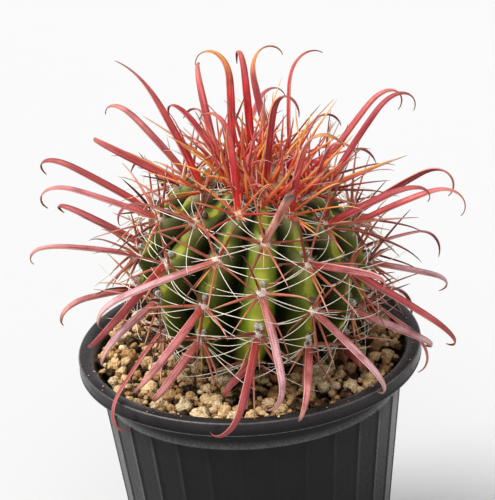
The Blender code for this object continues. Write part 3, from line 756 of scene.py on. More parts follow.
# %% Pumice
def pumice():
    finish = Finish("pumice", 0.92, specular=0.15)
    tone = finish.number("tone")
    body = finish.ramp(tone, (0.00, (0.020, 0.013, 0.010)), (0.16, (0.055, 0.033, 0.021)),
                       (0.24, (0.52, 0.29, 0.125)), (0.60, (0.92, 0.66, 0.36)),
                       (1.00, (1.00, 0.84, 0.57)))
    cloud = finish.noise(0.0036, detail=5.0, rough=0.65)
    body = finish.mix(finish.span(cloud, 0.48, 0.68, 0.0, 0.60), body, (0.24, 0.125, 0.055))
    stains = finish.noise(0.0013, detail=4.0, rough=0.7)
    body = finish.mix(finish.span(stains, 0.55, 0.70, 0.0, 0.60), body, (0.080, 0.037, 0.018))
    pores = finish.pits(0.0010)
    # painted shade inside each pore
    painted_pore_shade = finish.span(pores, 0.05, 0.35, 1.0, 0.0)
    body = finish.mix(finish.maths("MULTIPLY", painted_pore_shade, 0.50), body, (0.075, 0.035, 0.015))
    # pale dust and a painted highlight where the stone bulges
    dust_and_painted_highlight = finish.span(finish.number("hollow"), 0.55, 0.95, 0.0, 0.35)
    finish.colour(finish.mix(dust_and_painted_highlight, body, (0.95, 0.74, 0.44)))
    small = finish.bump(pores, 0.0006)
    finish.bump(stains, 0.0009, under=small)
    return finish.material


# %% [markdown]
# ## Scattering the gravel
# Real gravel is poured, so its stones touch but never overlap, and small ones fill what the big ones
# leave. Throwing the stones in from large to small, and keeping each only where it finds room, gives
# nearly the same packing with no simulation. A second, deeper layer closes the gaps.

# %% Gravel
STONE_SIZES = ((0.0043, 40), (0.0035, 130), (0.0027, 520), (0.0020, 2200), (0.0013, 6500))
BIG_FROM = 0.0023                   # stones larger than this go into the first heap
FINE_FROM = 0.0030                  # and those larger than this are modelled more finely
DARK_SHARE = 0.19                   # of the stones
CHIP_TONE = 0.75                    # small stones are darker by this
STONE_DENT = 0.55
HILL = 0.0012                       # how far the heap's surface rises and falls
random.seed(41)


def scatter(depth, sizes, shrink):
    """Places for stones in the pot's mouth: (x, y, radius), with no two overlapping."""
    cells, placed = {}, []
    widest = sizes[0][0]
    edge = mouth_radius(RIM_TOP - depth)
    for size, throws in sizes:
        for _ in range(throws):
            radius = size * random.uniform(0.86, 1.12)
            away = (edge - radius * 0.92) * math.sqrt(random.random())
            turn = random.uniform(0, math.tau)
            x, y = away * math.cos(turn), away * math.sin(turn)
            cell = (int(x // (2 * widest)), int(y // (2 * widest)))
            near = [stone for i in (-1, 0, 1) for j in (-1, 0, 1)
                    for stone in cells.get((cell[0] + i, cell[1] + j), ())]
            if all(math.hypot(x - u, y - v) > shrink * (radius + w) for u, v, w in near):
                cells.setdefault(cell, []).append((x, y, radius))
                placed.append((x, y, radius))
    return placed


def clear_of_stem(point, radius):
    offset = point - STEM_CENTRE
    across = math.hypot(offset.dot(STEM_RIGHT), offset.dot(STEM_BACK))
    return math.hypot(across / (STEM_RADIUS * 0.9 + radius),
                      offset.dot(STEM_AXIS) / (STEM_HALF_HEIGHT + 0.6 * radius)) > 1


def lay_stones(heaps, depth, sizes, shrink, lift):
    """Throw one layer of stones and sort them into the heap of big and the heap of small ones."""
    for x, y, radius in scatter(depth, sizes, shrink):
        seed = random.random() * 60
        squash = [random.uniform(0.82, 1.18), random.uniform(0.78, 1.05), random.uniform(0.66, 0.92)]
        turn = Matrix.Rotation(random.uniform(0, math.tau), 3, "Z").to_quaternion()
        turn = turn @ Matrix.Rotation(random.uniform(-0.5, 0.5), 3, "X").to_quaternion()
        hill = HILL * noise.noise(Vector((x * 55, y * 55, 0)))
        height = GRAVEL_TOP + lift + hill - radius * squash[2] * random.uniform(0.75, 1.0)
        centre = Vector((x, y, height))
        dark = random.random() < DARK_SHARE
        tone = random.uniform(0.0, 0.16) if dark else random.uniform(0.24, 1.0)
        if radius < BIG_FROM:
            tone *= CHIP_TONE
        if clear_of_stem(centre, radius):
            heap = heaps[0] if radius > BIG_FROM else heaps[1]
            heap.lump(centre, [radius * part for part in squash], turn,
                      3 if radius > FINE_FROM else 2, STONE_DENT, tone, seed)


pumice_finish = pumice()
big_stones, small_stones = Heap(), Heap()
lay_stones((big_stones, small_stones), 0.003, STONE_SIZES, 0.92, 0.0011)
lay_stones((big_stones, small_stones), 0.006, STONE_SIZES[1:4], 0.98, -0.0042)
big_stones.make("gravel_stones", pumice_finish, "pumice", ["gravel"])
small_stones.make("gravel_chips", pumice_finish, "pumice")

# %% [markdown]
# ## Room to grow
# The flat central spines are long enough to meet each other. The CAD model grew them one by one and
# turned a spine aside by a few degrees wherever it came too near another. Repeating that search here,
# with the same rules in the same order, puts each detailed spine exactly where its solid is.

# %% Rods and clearances
SPINE_CLEARANCE = 0.0004
CHECKS_ALONG = 5


def capsules(path, radii):
    """A spine as a chain of round-ended rods: two ends and a radius."""
    return [(a, b, max(ra, rb)) for a, b, ra, rb in zip(path, path[1:], radii, radii[1:])]


def box_of(chain):
    low = Vector([min(min(a[i], b[i]) - r for a, b, r in chain) for i in range(3)])
    high = Vector([max(max(a[i], b[i]) + r for a, b, r in chain) for i in range(3)])
    return low, high


def too_close(one, other):
    """Whether two rods come nearer than their radii and the clearance."""
    a, b, radius = one
    c, d, other_radius = other
    along, across, between = b - a, d - c, a - c
    aa, cc, ac = along.dot(along), across.dot(across), along.dot(across)
    ab, cb = along.dot(between), across.dot(between)
    spread = aa * cc - ac * ac
    s = min(1.0, max(0.0, (ac * cb - cc * ab) / spread)) if spread > 1e-18 else 0.0
    t = min(1.0, max(0.0, (ac * s + cb) / cc))
    s = min(1.0, max(0.0, (ac * t - ab) / aa))
    nearest = (a + along * s - c - across * t).length
    return nearest < radius + other_radius + SPINE_CLEARANCE


class Room:
    """Keeps the spines that have grown, and says whether a new one has room."""

    def __init__(self):
        self.grown = []

    def clear_of_ground(self, point, radius):
        away = math.hypot(point.x, point.y)
        need = radius + SPINE_CLEARANCE
        if away < mouth_radius(RIM_TOP) - need:
            return point.z > GRAVEL_TOP + GRAVEL_LUMP + need
        return point.z > RIM_TOP + need or away > RIM_RADIUS + need

    def clear_of_stem(self, point, radius):
        offset = point - STEM_CENTRE
        need = radius + SPINE_CLEARANCE
        across = math.hypot(offset.dot(STEM_RIGHT), offset.dot(STEM_BACK)) / (STEM_RADIUS + need)
        return math.hypot(across, offset.dot(STEM_AXIS) / (STEM_HALF_HEIGHT + need)) > 1

    def clear(self, path, radii):
        """Whether a spine stays out of the ground, the pot's collar and the stem."""
        for start, end, radius in capsules(path, radii):
            for i in range(1, CHECKS_ALONG + 1):
                if not self.clear_of_ground(start.lerp(end, i / CHECKS_ALONG), radius):
                    return False
            if not self.clear_of_stem(end, radius):
                return False
        return True

    def has_room(self, path, radii, owner):
        if not self.clear(path, radii):
            return False
        mine = capsules(path, radii)
        low, high = box_of(mine)
        for other, other_low, other_high, other_owner in self.grown:
            far = any(low[i] - SPINE_CLEARANCE > other_high[i]
                      or other_low[i] - SPINE_CLEARANCE > high[i] for i in range(3))
            if other_owner == owner or far:
                continue
            if any(too_close(a, b) for a in mine for b in other):
                return False
        return True

    def keep(self, path, radii, owner):
        mine = capsules(path, radii)
        self.grown.append((mine, *box_of(mine), owner))


# %% [markdown]
# ## How a spine bends
# Every spine starts straight from its areole. It sags a little along its length, and a central spine
# then hooks over in its last half. One function walks along that curve in small moves. The direction
# of the hook is downward and a little outward, rolled round the spine by its own amount.

# %% Paths
CENTRAL_STRAIGHT = 0.55         # share of a spine's length before its hook begins
CURL_OUTWARD = 0.35
TIP_FROM = 0.82                 # share where a tip's own crook begins
MOVES_PER_STEP = 4


def curved_path(root, heading, curl, length, sag, hook, steps, moves_per_step=MOVES_PER_STEP,
                crook=0.0):
    path = [root]
    point = root.copy()
    moves = steps * moves_per_step
    for i in range(moves):
        t = (i + 0.5) / moves
        late = max(0.0, (t - CENTRAL_STRAIGHT) / (1 - CENTRAL_STRAIGHT))
        last = max(0.0, (t - TIP_FROM) / (1 - TIP_FROM))
        bend = math.radians(sag * t + hook * late ** 2 + crook * last)
        point = point + (heading * math.cos(bend) + curl * math.sin(bend)) * length / moves
        if (i + 1) % moves_per_step == 0:
            path.append(point)
    return path


def aim(areole, turn, rise):
    """Direction turned to the right of straight out and raised towards the crown."""
    turn, rise = math.radians(turn), math.radians(rise)
    level = areole.out * math.cos(turn) + areole.right * math.sin(turn)
    return level * math.cos(rise) + areole.crownward * math.sin(rise)


def curl_direction(heading, out, roll):
    down = Vector((0, 0, -1)) + out * CURL_OUTWARD
    curl = (down - down.dot(heading) * heading).normalized()
    return Matrix.Rotation(math.radians(roll), 3, heading) @ curl


# %% [markdown]
# ## The central spines' habits
# On the real plant the flat central spines are what one sees first, and each has its own gesture. The
# most visible ones are listed one by one: degrees turned to the right of straight out, degrees raised
# towards the crown, degrees the hook is rolled, length in millimetres, and degrees of hook. The others
# follow a rule. One, at the front, has snapped off short.

# %% Habits
HABIT = {
    (-1, 1): (-58, -38, -40, 62, 130), (-2, 1): (24, -42, -48, 53, 75),
    (-1, 2): (-4, -28, -52, 50, 100), (-1, 3): (-10, -32, -68, 46, 145),
    (0, 1): (40, -60, -20, 56, 165), (0, 2): (-8, -38, -72, 52, 140),
    (0, 3): (-34, -16, -30, 40, 110), (1, 1): (28, -18, -76, 47, 95),
    (1, 2): (26, -40, 34, 51, 150), (1, 3): (-32, 12, -30, 45, 155),
    (3, 1): (18, -24, 46, 47, 120), (2, 2): (32, -22, 68, 47, 125),
    (2, 1): (8, -38, 36, 60, 105), (-3, 0): (-24, 0, 4, 63, 35),
    (-3, 1): (-10, -16, -26, 59, 165), (-4, 1): (8, 4, -30, 60, 155),
    (-2, 0): (-4, -16, -4, 47, 105), (-4, 2): (0, 22, -42, 48, 105),
    (-4, 0): (8, -30, -66, 48, 110), (-3, 2): (10, 10, -10, 52, 55),
    (-2, 2): (26, 10, -10, 48, 110), (-3, 3): (42, 32, 0, 50, 85),
    (-4, -1): (-22, 4, 88, 62, 180), (-5, 0): (-4, -4, -38, 49, 100),
    (-6, -1): (4, -6, 20, 57, 180), (-1, 0): (-24, 40, 0, 50, 145),
    (-2, -1): (-44, -6, -34, 52, 115), (6, 0): (30, 0, -86, 59, 170),
    (5, -1): (20, 12, -40, 57, 115), (5, 0): (-6, 10, 0, 62, 180),
    (4, 0): (8, 4, 8, 62, 165), (1, 0): (-8, 12, 36, 60, 135),
    (0, -1): (-4, 12, 6, 62, 175), (4, 1): (-20, 22, -42, 58, 170),
    (2, 0): (18, -8, 22, 51, 85), (3, 0): (8, -6, -14, 56, 155),
}
BROKEN_SPINE = (0, 0)
BROKEN_HABIT = (14, 22, 0, 29, 0)
CENTRAL_LENGTH = 0.050
CENTRAL_HOOK = 120.0
CENTRAL_SAG = 12.0
CENTRAL_WIDTH = 0.0036
CENTRAL_THICKNESS = 0.0012
CENTRAL_TIP = 0.0006
CENTRAL_STEPS = 6


def central_habit(areole):
    """Turn, rise, roll, length in metres and hook of a central spine."""
    key = (areole.rib, areole.row)
    if key == BROKEN_SPINE or key in HABIT:
        turn, rise, roll, millimetres, hook = BROKEN_HABIT if key == BROKEN_SPINE else HABIT[key]
        return turn, rise, roll, millimetres / 1000, hook
    swing = math.sin(2.4 * areole.rib + 1.9 * areole.row)
    lean = math.sin(1.3 * areole.rib - 2.7 * areole.row)
    rise = 14 * math.sin(areole.latitude) + 8 * lean
    return 24 * swing, rise, 40 * lean, CENTRAL_LENGTH * (1 + 0.1 * swing), CENTRAL_HOOK


# %% Settling the central spines
CUSHION_LENGTH = 0.0056
CUSHION_WIDTH = 0.0044
CROWN_WIDTH = 0.0090
CROWN_HEIGHT = 0.0030
CROWN_SPINES = 5
CROWN_SPINE_LENGTH = 0.016
CROWN_SPREAD = 0.35
CROWN_DOME = ((1.0, 0.30), (0.7, 0.42))
TURN_STEP = 2.2
TURN_TRIES = 70
GOLDEN_ANGLE = 137.5
SHORTENING = 0.9
crown_foot = stem_point(math.pi / 2, 0.0) + STEM_AXIS * GAP


def claim_crown(room):
    """The crown tuft and its few young spines in the CAD model, which others keep clear of."""
    room.keep([crown_foot, crown_foot + STEM_AXIS * CROWN_HEIGHT], [CROWN_WIDTH / 2] * 2, "crown")
    for i in range(0, 2 * CROWN_SPINES, 2):
        corners = []
        for height, spread in CROWN_DOME:
            for side in (i, i + 1):
                angle = math.tau * side / (2 * CROWN_SPINES)
                spoke = STEM_RIGHT * math.cos(angle) + STEM_BACK * math.sin(angle)
                corners.append(crown_foot + STEM_AXIS * CROWN_HEIGHT * height
                               + spoke * CROWN_WIDTH * spread)
        middle = sum(corners, Vector()) / 4
        spoke = (middle - crown_foot - STEM_AXIS * CROWN_HEIGHT).normalized()
        heading = (STEM_AXIS + spoke * CROWN_SPREAD).normalized()
        half = max((corner - middle).length for corner in corners)
        room.keep([middle, middle + heading * CROWN_SPINE_LENGTH], [half] * 2, "crown")


def settle_centrals(room):
    """Where each central spine ends up: heading, curl, length, sag and hook, by areole."""
    settled = {}
    order = sorted(areoles, key=lambda areole: (areole.rib, areole.row) not in HABIT)
    for areole in order:
        half = areole.crownward * (CUSHION_LENGTH - CUSHION_WIDTH) / 2
        middle = (areole.foot + areole.top) / 2
        room.keep([middle - half, middle + half], [CUSHION_WIDTH * math.sqrt(0.5)] * 2, areole)
    for areole in order:
        turn, rise, roll, length, hook = central_habit(areole)
        broken = (areole.rib, areole.row) == BROKEN_SPINE
        sag = 0.0 if broken else CENTRAL_SAG
        radii = []
        for i in range(CENTRAL_STEPS + 1):
            taper = 1.0 if broken else 1 - (i / CENTRAL_STEPS) ** 2.2
            width = blended(CENTRAL_TIP, CENTRAL_WIDTH, taper)
            radii.append(math.hypot(width, blended(CENTRAL_TIP, CENTRAL_THICKNESS, taper)) / 2)
        while areole not in settled:
            for attempt in range(TURN_TRIES):
                spiral = TURN_STEP * math.sqrt(attempt)
                around = math.radians(GOLDEN_ANGLE * attempt)
                heading = aim(areole, turn + spiral * math.cos(around),
                              rise + spiral * math.sin(around))
                curl = curl_direction(heading, areole.out, roll)
                path = curved_path(areole.top, heading, curl, length, sag, hook, CENTRAL_STEPS)
                if room.has_room(path, radii, areole):
                    room.keep(path, radii, areole)
                    settled[areole] = (heading, curl, length, sag, hook)
                    break
            length *= SHORTENING
    return settled


room = Room()
claim_crown(room)
centrals = settle_centrals(room)
print("central spines settled:", len(centrals))

# %% [markdown]
# ## Skinning a spine
# A spine's skin is a section carried along its path. A central spine's section is a flat oval with a
# rounded channel down its upper face. A side spine's is round. A bristle's has only four corners,
# because it is as thin as a hair. Many spines go into one mesh, and each point remembers how far along
# it is, how far across, how old its areole is, and a tone of its own.

# %% Bundles of spines
class Bundle:
    """Many spines joined into one mesh."""

    def __init__(self):
        self.vertices, self.faces = [], []
        self.numbers = {"along": [], "run": [], "across": [], "age": [], "tone": [], "lit": []}

    def grow(self, path, broad, widths, thicknesses, sides, age, tone, lit=0.0, channel=0.0,
             squareness=1.0, twist=0.0, turned=0.0):
        """Skin one spine; turned rolls its section at the root, and twist adds to it on the way."""
        first, run = len(self.vertices), 0.0
        last = len(path) - 1
        for step, point in enumerate(path):
            heading = (path[min(step + 1, last)] - path[max(step - 1, 0)]).normalized()
            side = (broad - broad.dot(heading) * heading).normalized()
            roll = turned * (1 - smooth_step(0.45, 1.0, step / last)) + twist * step / last
            side = Matrix.Rotation(math.radians(roll), 3, heading) @ side
            up = side.cross(heading)
            run += (point - path[step - 1]).length if step else 0.0
            for i in range(sides):
                angle = math.tau * i / sides
                x = math.copysign(abs(math.cos(angle)) ** squareness, math.cos(angle))
                y = math.copysign(abs(math.sin(angle)) ** squareness, math.sin(angle))
                hollow = channel * math.exp(-(x / 0.42) ** 2) if y > 0 else 0.0
                self.vertices.append(point + side * x * widths[step] / 2
                                     + up * (y - hollow) * thicknesses[step] / 2)
                self.numbers["across"].append(x)
            for name, value in (("along", step / last), ("run", run), ("age", age),
                                ("tone", tone), ("lit", lit)):
                self.numbers[name] += [value] * sides
        for step in range(last):
            for i in range(sides):
                j = (i + 1) % sides
                a, b = first + step * sides, first + (step + 1) * sides
                self.faces.append((a + j, a + i, b + i, b + j))
        self.faces.append(tuple(first + i for i in range(sides)))
        self.faces.append(tuple(first + last * sides + i for i in reversed(range(sides))))

    def make(self, name, material, slot, replaced=()):
        piece = add_piece(name, self.vertices, self.faces, material, replaced)
        number_points(piece, self.numbers)
        return piece


# %% [markdown]
# ## The colour of spines
# A young spine is crimson with an orange root. With age it fades to rose, some go on to lilac, some
# stay maroon, and a few young ones end in gold; on three ribs at the right, spines are darkened
# towards maroon as painted shade. Thin tips go nearly black. The edges carry a painted highlight, with
# a band of painted shade just inside it, fibres run along the face, and fine rings cross it, one for
# each spurt of growth. So each central spine mixes several ramps along its length, by its age and
# tone.
# Side spines start amber or red and turn to horn.

# %% Spine finishes
RING_SPACING = 0.00075


def fine_rings(finish):
    """Rings across a spine, broken by noise, as a bump."""
    wobble = finish.maths("MULTIPLY", finish.noise(0.0015), 0.0009)
    place = finish.maths("ADD", finish.number("run"), wobble)
    wave = finish.maths("SINE", finish.maths("MULTIPLY", place, math.tau / RING_SPACING))
    return finish.span(wave, -1.0, 1.0)


def fibres(finish):
    """Noise drawn out along a spine, as in dried horn."""
    place = finish.add("ShaderNodeCombineXYZ", {
        "X": finish.maths("MULTIPLY", finish.number("across"), 2.6),
        "Y": finish.maths("MULTIPLY", finish.number("run"), 90.0),
        "Z": finish.maths("MULTIPLY", finish.maths("ADD", finish.number("age"), finish.number("tone")),
                          17.0)}).outputs[0]
    return finish.add("ShaderNodeTexNoise", {"Vector": place, "Scale": 1.0, "Detail": 4.0,
                                             "Roughness": 0.6}).outputs["Fac"]


def central_spine_finish():
    finish = Finish("central_spine", 0.42, specular=0.33)
    along, age = finish.number("along"), finish.number("age")
    tone = finish.number("tone")
    young = finish.ramp(along, (0.00, (0.84, 0.12, 0.015)), (0.12, (0.86, 0.012, 0.010)),
                        (0.42, (0.80, 0.028, 0.036)), (0.66, (0.76, 0.11, 0.11)),
                        (0.86, (0.56, 0.20, 0.14)), (1.0, (0.09, 0.050, 0.045)))
    rose = finish.ramp(along, (0.00, (0.62, 0.13, 0.035)), (0.10, (0.56, 0.070, 0.045)),
                       (0.36, (0.68, 0.15, 0.14)), (0.66, (0.74, 0.27, 0.25)),
                       (0.84, (0.64, 0.27, 0.20)), (1.0, (0.08, 0.045, 0.04)))
    lilac = finish.ramp(along, (0.00, (0.48, 0.15, 0.065)), (0.10, (0.56, 0.20, 0.16)),
                        (0.30, (0.66, 0.38, 0.39)), (0.66, (0.68, 0.46, 0.49)),
                        (0.86, (0.72, 0.46, 0.38)), (1.0, (0.16, 0.09, 0.07)))
    golden = finish.ramp(along, (0.40, (0.78, 0.13, 0.06)), (0.66, (0.86, 0.36, 0.10)),
                         (0.88, (0.80, 0.50, 0.12)), (1.0, (0.16, 0.10, 0.04)))
    gilding = finish.maths("MULTIPLY", finish.span(finish.number("lit"), 0.1, 0.3, 0.0, 0.75),
                           finish.span(along, 0.50, 0.74))
    body = finish.mix(finish.span(age, 0.14, 0.46), young, rose)
    # low tone turns a spine maroon: its own colour on most ribs, painted shade on the right-hand ribs
    maroon_and_painted_shade = finish.maths("MULTIPLY", finish.span(tone, 0.22, 0.04, 0.0, 0.7),
                          finish.span(along, 0.05, 0.3))
    body = finish.mix(maroon_and_painted_shade, body, (0.30, 0.040, 0.055))
    fading = finish.maths("MULTIPLY", finish.span(age, 0.15, 0.35), finish.span(tone, 0.35, 0.95))
    body = finish.mix(fading, body, lilac)
    body = finish.mix(gilding, body, golden)
    weathered = finish.noise(0.009, detail=3.0)
    body = finish.mix(finish.span(weathered, 0.46, 0.66, 0.0, 0.60), body, (0.30, 0.055, 0.060))
    streaks = fibres(finish)
    body = finish.mix(finish.span(streaks, 0.50, 0.72, 0.0, 0.36), body, (0.80, 0.32, 0.26))
    body = finish.mix(finish.span(streaks, 0.49, 0.30, 0.0, 0.75), body, (0.22, 0.030, 0.035))
    edge = finish.maths("ABSOLUTE", finish.number("across"))
    # a band of painted shade just inside each edge
    edge_painted_shade = finish.maths("MULTIPLY", finish.span(edge, 0.45, 0.72), finish.span(edge, 0.92, 0.78))
    body = finish.mix(finish.maths("MULTIPLY", edge_painted_shade, 0.50), body, (0.26, 0.03, 0.040))
    # a painted highlight along each edge, fading towards the tip
    edge_painted_highlight = finish.maths("MULTIPLY", finish.span(edge, 0.86, 0.98, 0.0, 0.65),
                             finish.span(along, 0.95, 0.6))
    body = finish.mix(edge_painted_highlight, body, (0.82, 0.50, 0.42))
    snapped = finish.span(finish.number("lit"), 0.4, 1.0)
    bare = finish.ramp(streaks, (0.32, (0.16, 0.035, 0.030)), (0.45, (0.52, 0.19, 0.15)),
                       (0.54, (0.70, 0.36, 0.29)), (0.66, (0.92, 0.68, 0.56)))
    frayed = finish.mix(finish.span(along, 0.84, 1.0), bare, (0.20, 0.16, 0.14))
    body = finish.mix(snapped, body, frayed)
    rings = fine_rings(finish)
    finish.colour(finish.mix(finish.maths("MULTIPLY", rings, 0.16), body, (0.14, 0.03, 0.03)))
    finish.roughness(finish.span(streaks, 0.3, 0.7, 0.32, 0.50))
    fine = finish.bump(streaks, 0.00012)
    finish.bump(rings, 0.00008, under=fine)
    return finish.material


def side_spine_finish():
    finish = Finish("side_spine", 0.4, specular=0.45)
    along, age, tone = finish.number("along"), finish.number("age"), finish.number("tone")
    amber = finish.ramp(along, (0.00, (0.84, 0.26, 0.04)), (0.12, (0.78, 0.14, 0.030)),
                        (0.45, (0.88, 0.28, 0.055)), (0.80, (0.92, 0.52, 0.14)),
                        (1.0, (0.70, 0.42, 0.14)))
    red = finish.ramp(along, (0.00, (0.80, 0.14, 0.03)), (0.10, (0.66, 0.030, 0.024)),
                      (0.50, (0.70, 0.11, 0.110)), (0.82, (0.54, 0.22, 0.19)),
                      (1.0, (0.10, 0.06, 0.055)))
    horn = finish.ramp(along, (0.00, (0.52, 0.22, 0.10)), (0.15, (0.42, 0.120, 0.055)),
                       (0.55, (0.52, 0.20, 0.14)), (0.82, (0.60, 0.34, 0.24)),
                       (1.0, (0.13, 0.08, 0.065)))
    dark = finish.ramp(along, (0.00, (0.36, 0.11, 0.05)), (0.20, (0.22, 0.040, 0.020)),
                       (0.70, (0.17, 0.045, 0.028)), (1.0, (0.04, 0.028, 0.025)))
    reddening = finish.maths("ADD", tone, finish.span(age, 0.22, 0.42, 0.0, 0.6))
    body = finish.mix(finish.span(reddening, 0.26, 0.42), amber, red)
    dull = finish.mix(finish.span(tone, 0.50, 0.70), horn, dark)
    body = finish.mix(finish.span(age, 0.12, 0.30, 0.0, 0.9), body, dull)
    body = finish.mix(finish.number("lit"), body, (0.66, 0.40, 0.07))
    streaks = fibres(finish)
    body = finish.mix(finish.span(streaks, 0.5, 0.75, 0.0, 0.35), body, (0.76, 0.44, 0.28))
    finish.colour(finish.mix(finish.span(streaks, 0.48, 0.25, 0.0, 0.4), body, (0.16, 0.04, 0.025)))
    finish.roughness(finish.span(streaks, 0.3, 0.7, 0.32, 0.5))
    finish.bump(fine_rings(finish), 0.00003)
    return finish.material


def bristle_finish():
    finish = Finish("bristle", 0.5, specular=0.4)
    along = finish.number("along")
    pale = finish.ramp(along, (0.0, (0.72, 0.58, 0.40)), (0.15, (0.95, 0.90, 0.78)),
                       (0.8, (0.93, 0.88, 0.78)), (1.0, (0.68, 0.58, 0.46)))
    cloud = finish.noise(0.004, detail=3.0)
    finish.colour(finish.mix(finish.span(cloud, 0.5, 0.75, 0.0, 0.35), pale, (0.66, 0.52, 0.36)))
    finish.roughness(finish.span(cloud, 0.3, 0.7, 0.42, 0.6))
    finish.bump(finish.noise(0.0005), 0.00002)
    return finish.material


# %% [markdown]
# ## The flat central spines
# Each ribbon is a little narrower at its root, broadest near its middle, and runs out to a thin hooked
# tip. It also twists slightly, as dried horn does, and some are rolled at the root, so that their
# broad face shows. On some ribs the last few millimetres crook over further than the CAD model's
# plainer solids. The broken spine keeps its full width to the end, where it is frayed into splinters.

# %% Central spines
CENTRAL_FINE_STEPS = 44
CENTRAL_SIDES = 16
# degrees that a ribbon is rolled at the root, by rib and row
TURNED = {(-4, -1): -70, (0, 1): 45, (0, 2): 30, (-3, 0): -50, (-1, 0): -35, (1, 0): -45,
          (2, 0): 30, (3, 0): 60, (4, 0): 35, (4, 1): -50, (5, 0): 35, (6, 0): 60}
FADED = ((0, 1), (1, 2), (-1, 1), (1, 0), (-2, 2), (3, 1), (2, 2))      # lilac
GILDED = ((-4, -1), (6, 0), (1, 0))             # with golden hooks
SLIM_PAINTED_SHADE_RIBS = (3, 4, 5)                          # darkened towards maroon as painted shade, and slimmer
SLIM = 0.82
CROOKED_RIBS = (-4, -3, -2, 2)                  # whose tips all end in a small hook
STRAIGHT_TIP = (-3, 0)                          # but for this one
FULL_HOOK = 150.0                               # degrees that hook and crook make together
CENTRAL_ROOT = 0.001                            # how deep in its cushion a ribbon starts
SPLINTERS = 7


def central_sizes(t):
    """Width and thickness of a central spine at a share of its length."""
    swell = 0.84 + 0.08 * math.sin(math.pi * min(1.0, t / 0.8))
    narrowing = 1 - t ** 5
    width = blended(CENTRAL_TIP * 0.45, CENTRAL_WIDTH * swell, narrowing)
    thick = blended(CENTRAL_TIP * 0.45, CENTRAL_THICKNESS * 1.15, 1 - t ** 3)
    return width, thick


def grow_central(bundle, areole):
    heading, curl, length, sag, hook = centrals[areole]
    broken = (areole.rib, areole.row) == BROKEN_SPINE
    key = (areole.rib, areole.row)
    crooked = areole.rib in CROOKED_RIBS and key != STRAIGHT_TIP
    path = curved_path(areole.top - heading * CENTRAL_ROOT, heading, curl, length, sag, hook,
                       CENTRAL_FINE_STEPS, 1, max(0.0, FULL_HOOK - hook) if crooked else 0.0)
    widths, thicknesses = [], []
    for i in range(CENTRAL_FINE_STEPS + 1):
        width, thick = central_sizes(0.45 * i / CENTRAL_FINE_STEPS if broken
                                     else i / CENTRAL_FINE_STEPS)
        spread = 1.0 + 0.35 * i / CENTRAL_FINE_STEPS if broken else 1.0
        widths.append(width * spread * (SLIM if areole.rib in SLIM_PAINTED_SHADE_RIBS else 1.0))
        thicknesses.append(thick * (1.7 if broken else 1.0))
    tone = 0.95 if key in FADED else 0.3 + 0.3 * math.sin(areole.seed * 1.3)
    # the right-hand ribs are darkened towards maroon: painted shade
    tone *= 0.45 if areole.rib in SLIM_PAINTED_SHADE_RIBS and key not in FADED else 1.0
    bundle.grow(path, heading.cross(curl), widths, thicknesses, CENTRAL_SIDES, areole.age, tone,
                lit=1.0 if broken else 0.3 if key in GILDED else 0.0,
                channel=0.35 if broken else 0.75, squareness=0.8,
                twist=14 * math.sin(areole.seed), turned=TURNED.get(key, 0.0))
    if broken:
        end, side = path[-1], heading.cross(curl)
        for i in range(SPLINTERS):
            spread = i / (SPLINTERS - 1) - 0.5
            spot = end + side * CENTRAL_WIDTH * spread * 0.85 - heading * CENTRAL_ROOT
            reach = 0.0018 + 0.0012 * math.sin(5 * i)
            splinter = [spot, spot + heading * reach, spot + heading * reach * 1.9 + curl * 0.0003]
            bundle.grow(splinter, side, [0.0007, 0.0005, 0.0001], [0.0006, 0.0004, 0.0001], 5, 1.0,
                        0.3, lit=1.0)


def grow_on_ribs(title, finish, slot, grow, replacing=False):
    """One piece for each rib, with what every areole of that rib grows."""
    for rib, members in sorted(areoles_of_rib.items()):
        bundle = Bundle()
        for areole in members:
            grow(bundle, areole)
        bundle.make("%s_rib%02d" % (title, rib + 1), finish, slot,
                    [areole.node for areole in members] if replacing else ())


grow_on_ribs("central_spines", central_spine_finish(), "spine", grow_central, replacing=True)

# %% [markdown]
# ## The side spines
# Round the central spine stand six straighter, rounder spines, spread like a hand, and eight near the
# crown, where they are longest. A small amber one always points down. Each is swollen where it leaves
# the cushion and tapers all the way, so its widths follow one formula.

# %% Side spines
YOUNG = 0.3                         # areoles below this age grow as those in the crown do
SIDE_SPINES = 6
SIDE_SPINES_CROWN = 8
SIDE_RISE_CROWN = 46.0
SIDE_LENGTH = 0.0195
SIDE_LENGTH_CROWN = 0.033
SIDE_THICKNESS = 0.00125
SIDE_RISE = 32.0
SIDE_STEPS = 12
SIDE_ROOT = 0.0011                  # how far from the cushion's middle the side spines stand
DOWN_RISE = 28                      # the small amber spine that points down
DOWN_LENGTH = 0.0135
DOWN_THICKNESS = 0.0010
RAISE_STEP = 6.0                    # a spine that would touch something is raised by this
RAISE_TRIES = 12


def needle_sizes(thickness):
    """Thickness at each step: a swollen root, then a taper to a fine tip."""
    shares = [i / SIDE_STEPS for i in range(SIDE_STEPS + 1)]
    return [thickness * ((1 - t) ** 0.62 * 0.95 + 0.45 * math.exp(-t / 0.035) + 0.07)
            for t in shares]


def grow_free(bundle, areole, around, rise, length, sag, hook, sizes, sides, tone, lit=0.0):
    """Grow a thin spine round the cushion; raise it until it is clear of stem, pot and ground."""
    for attempt in range(RAISE_TRIES):
        lifted = math.radians(rise + RAISE_STEP * attempt)
        level = areole.right * math.cos(around) + areole.crownward * math.sin(around)
        heading = (level * math.cos(lifted) + areole.out * math.sin(lifted)).normalized()
        curl = curl_direction(heading, areole.out, 0.0)
        root = areole.foot + areole.out * 0.0006 + level * SIDE_ROOT
        path = curved_path(root, heading, curl, length, sag, hook, SIDE_STEPS, 1)
        if room.clear(path[2:], [sizes[-1]] * (len(path) - 2)):
            break
    bundle.grow(path, heading.cross(curl), sizes, sizes, sides, areole.age, tone, lit=lit)


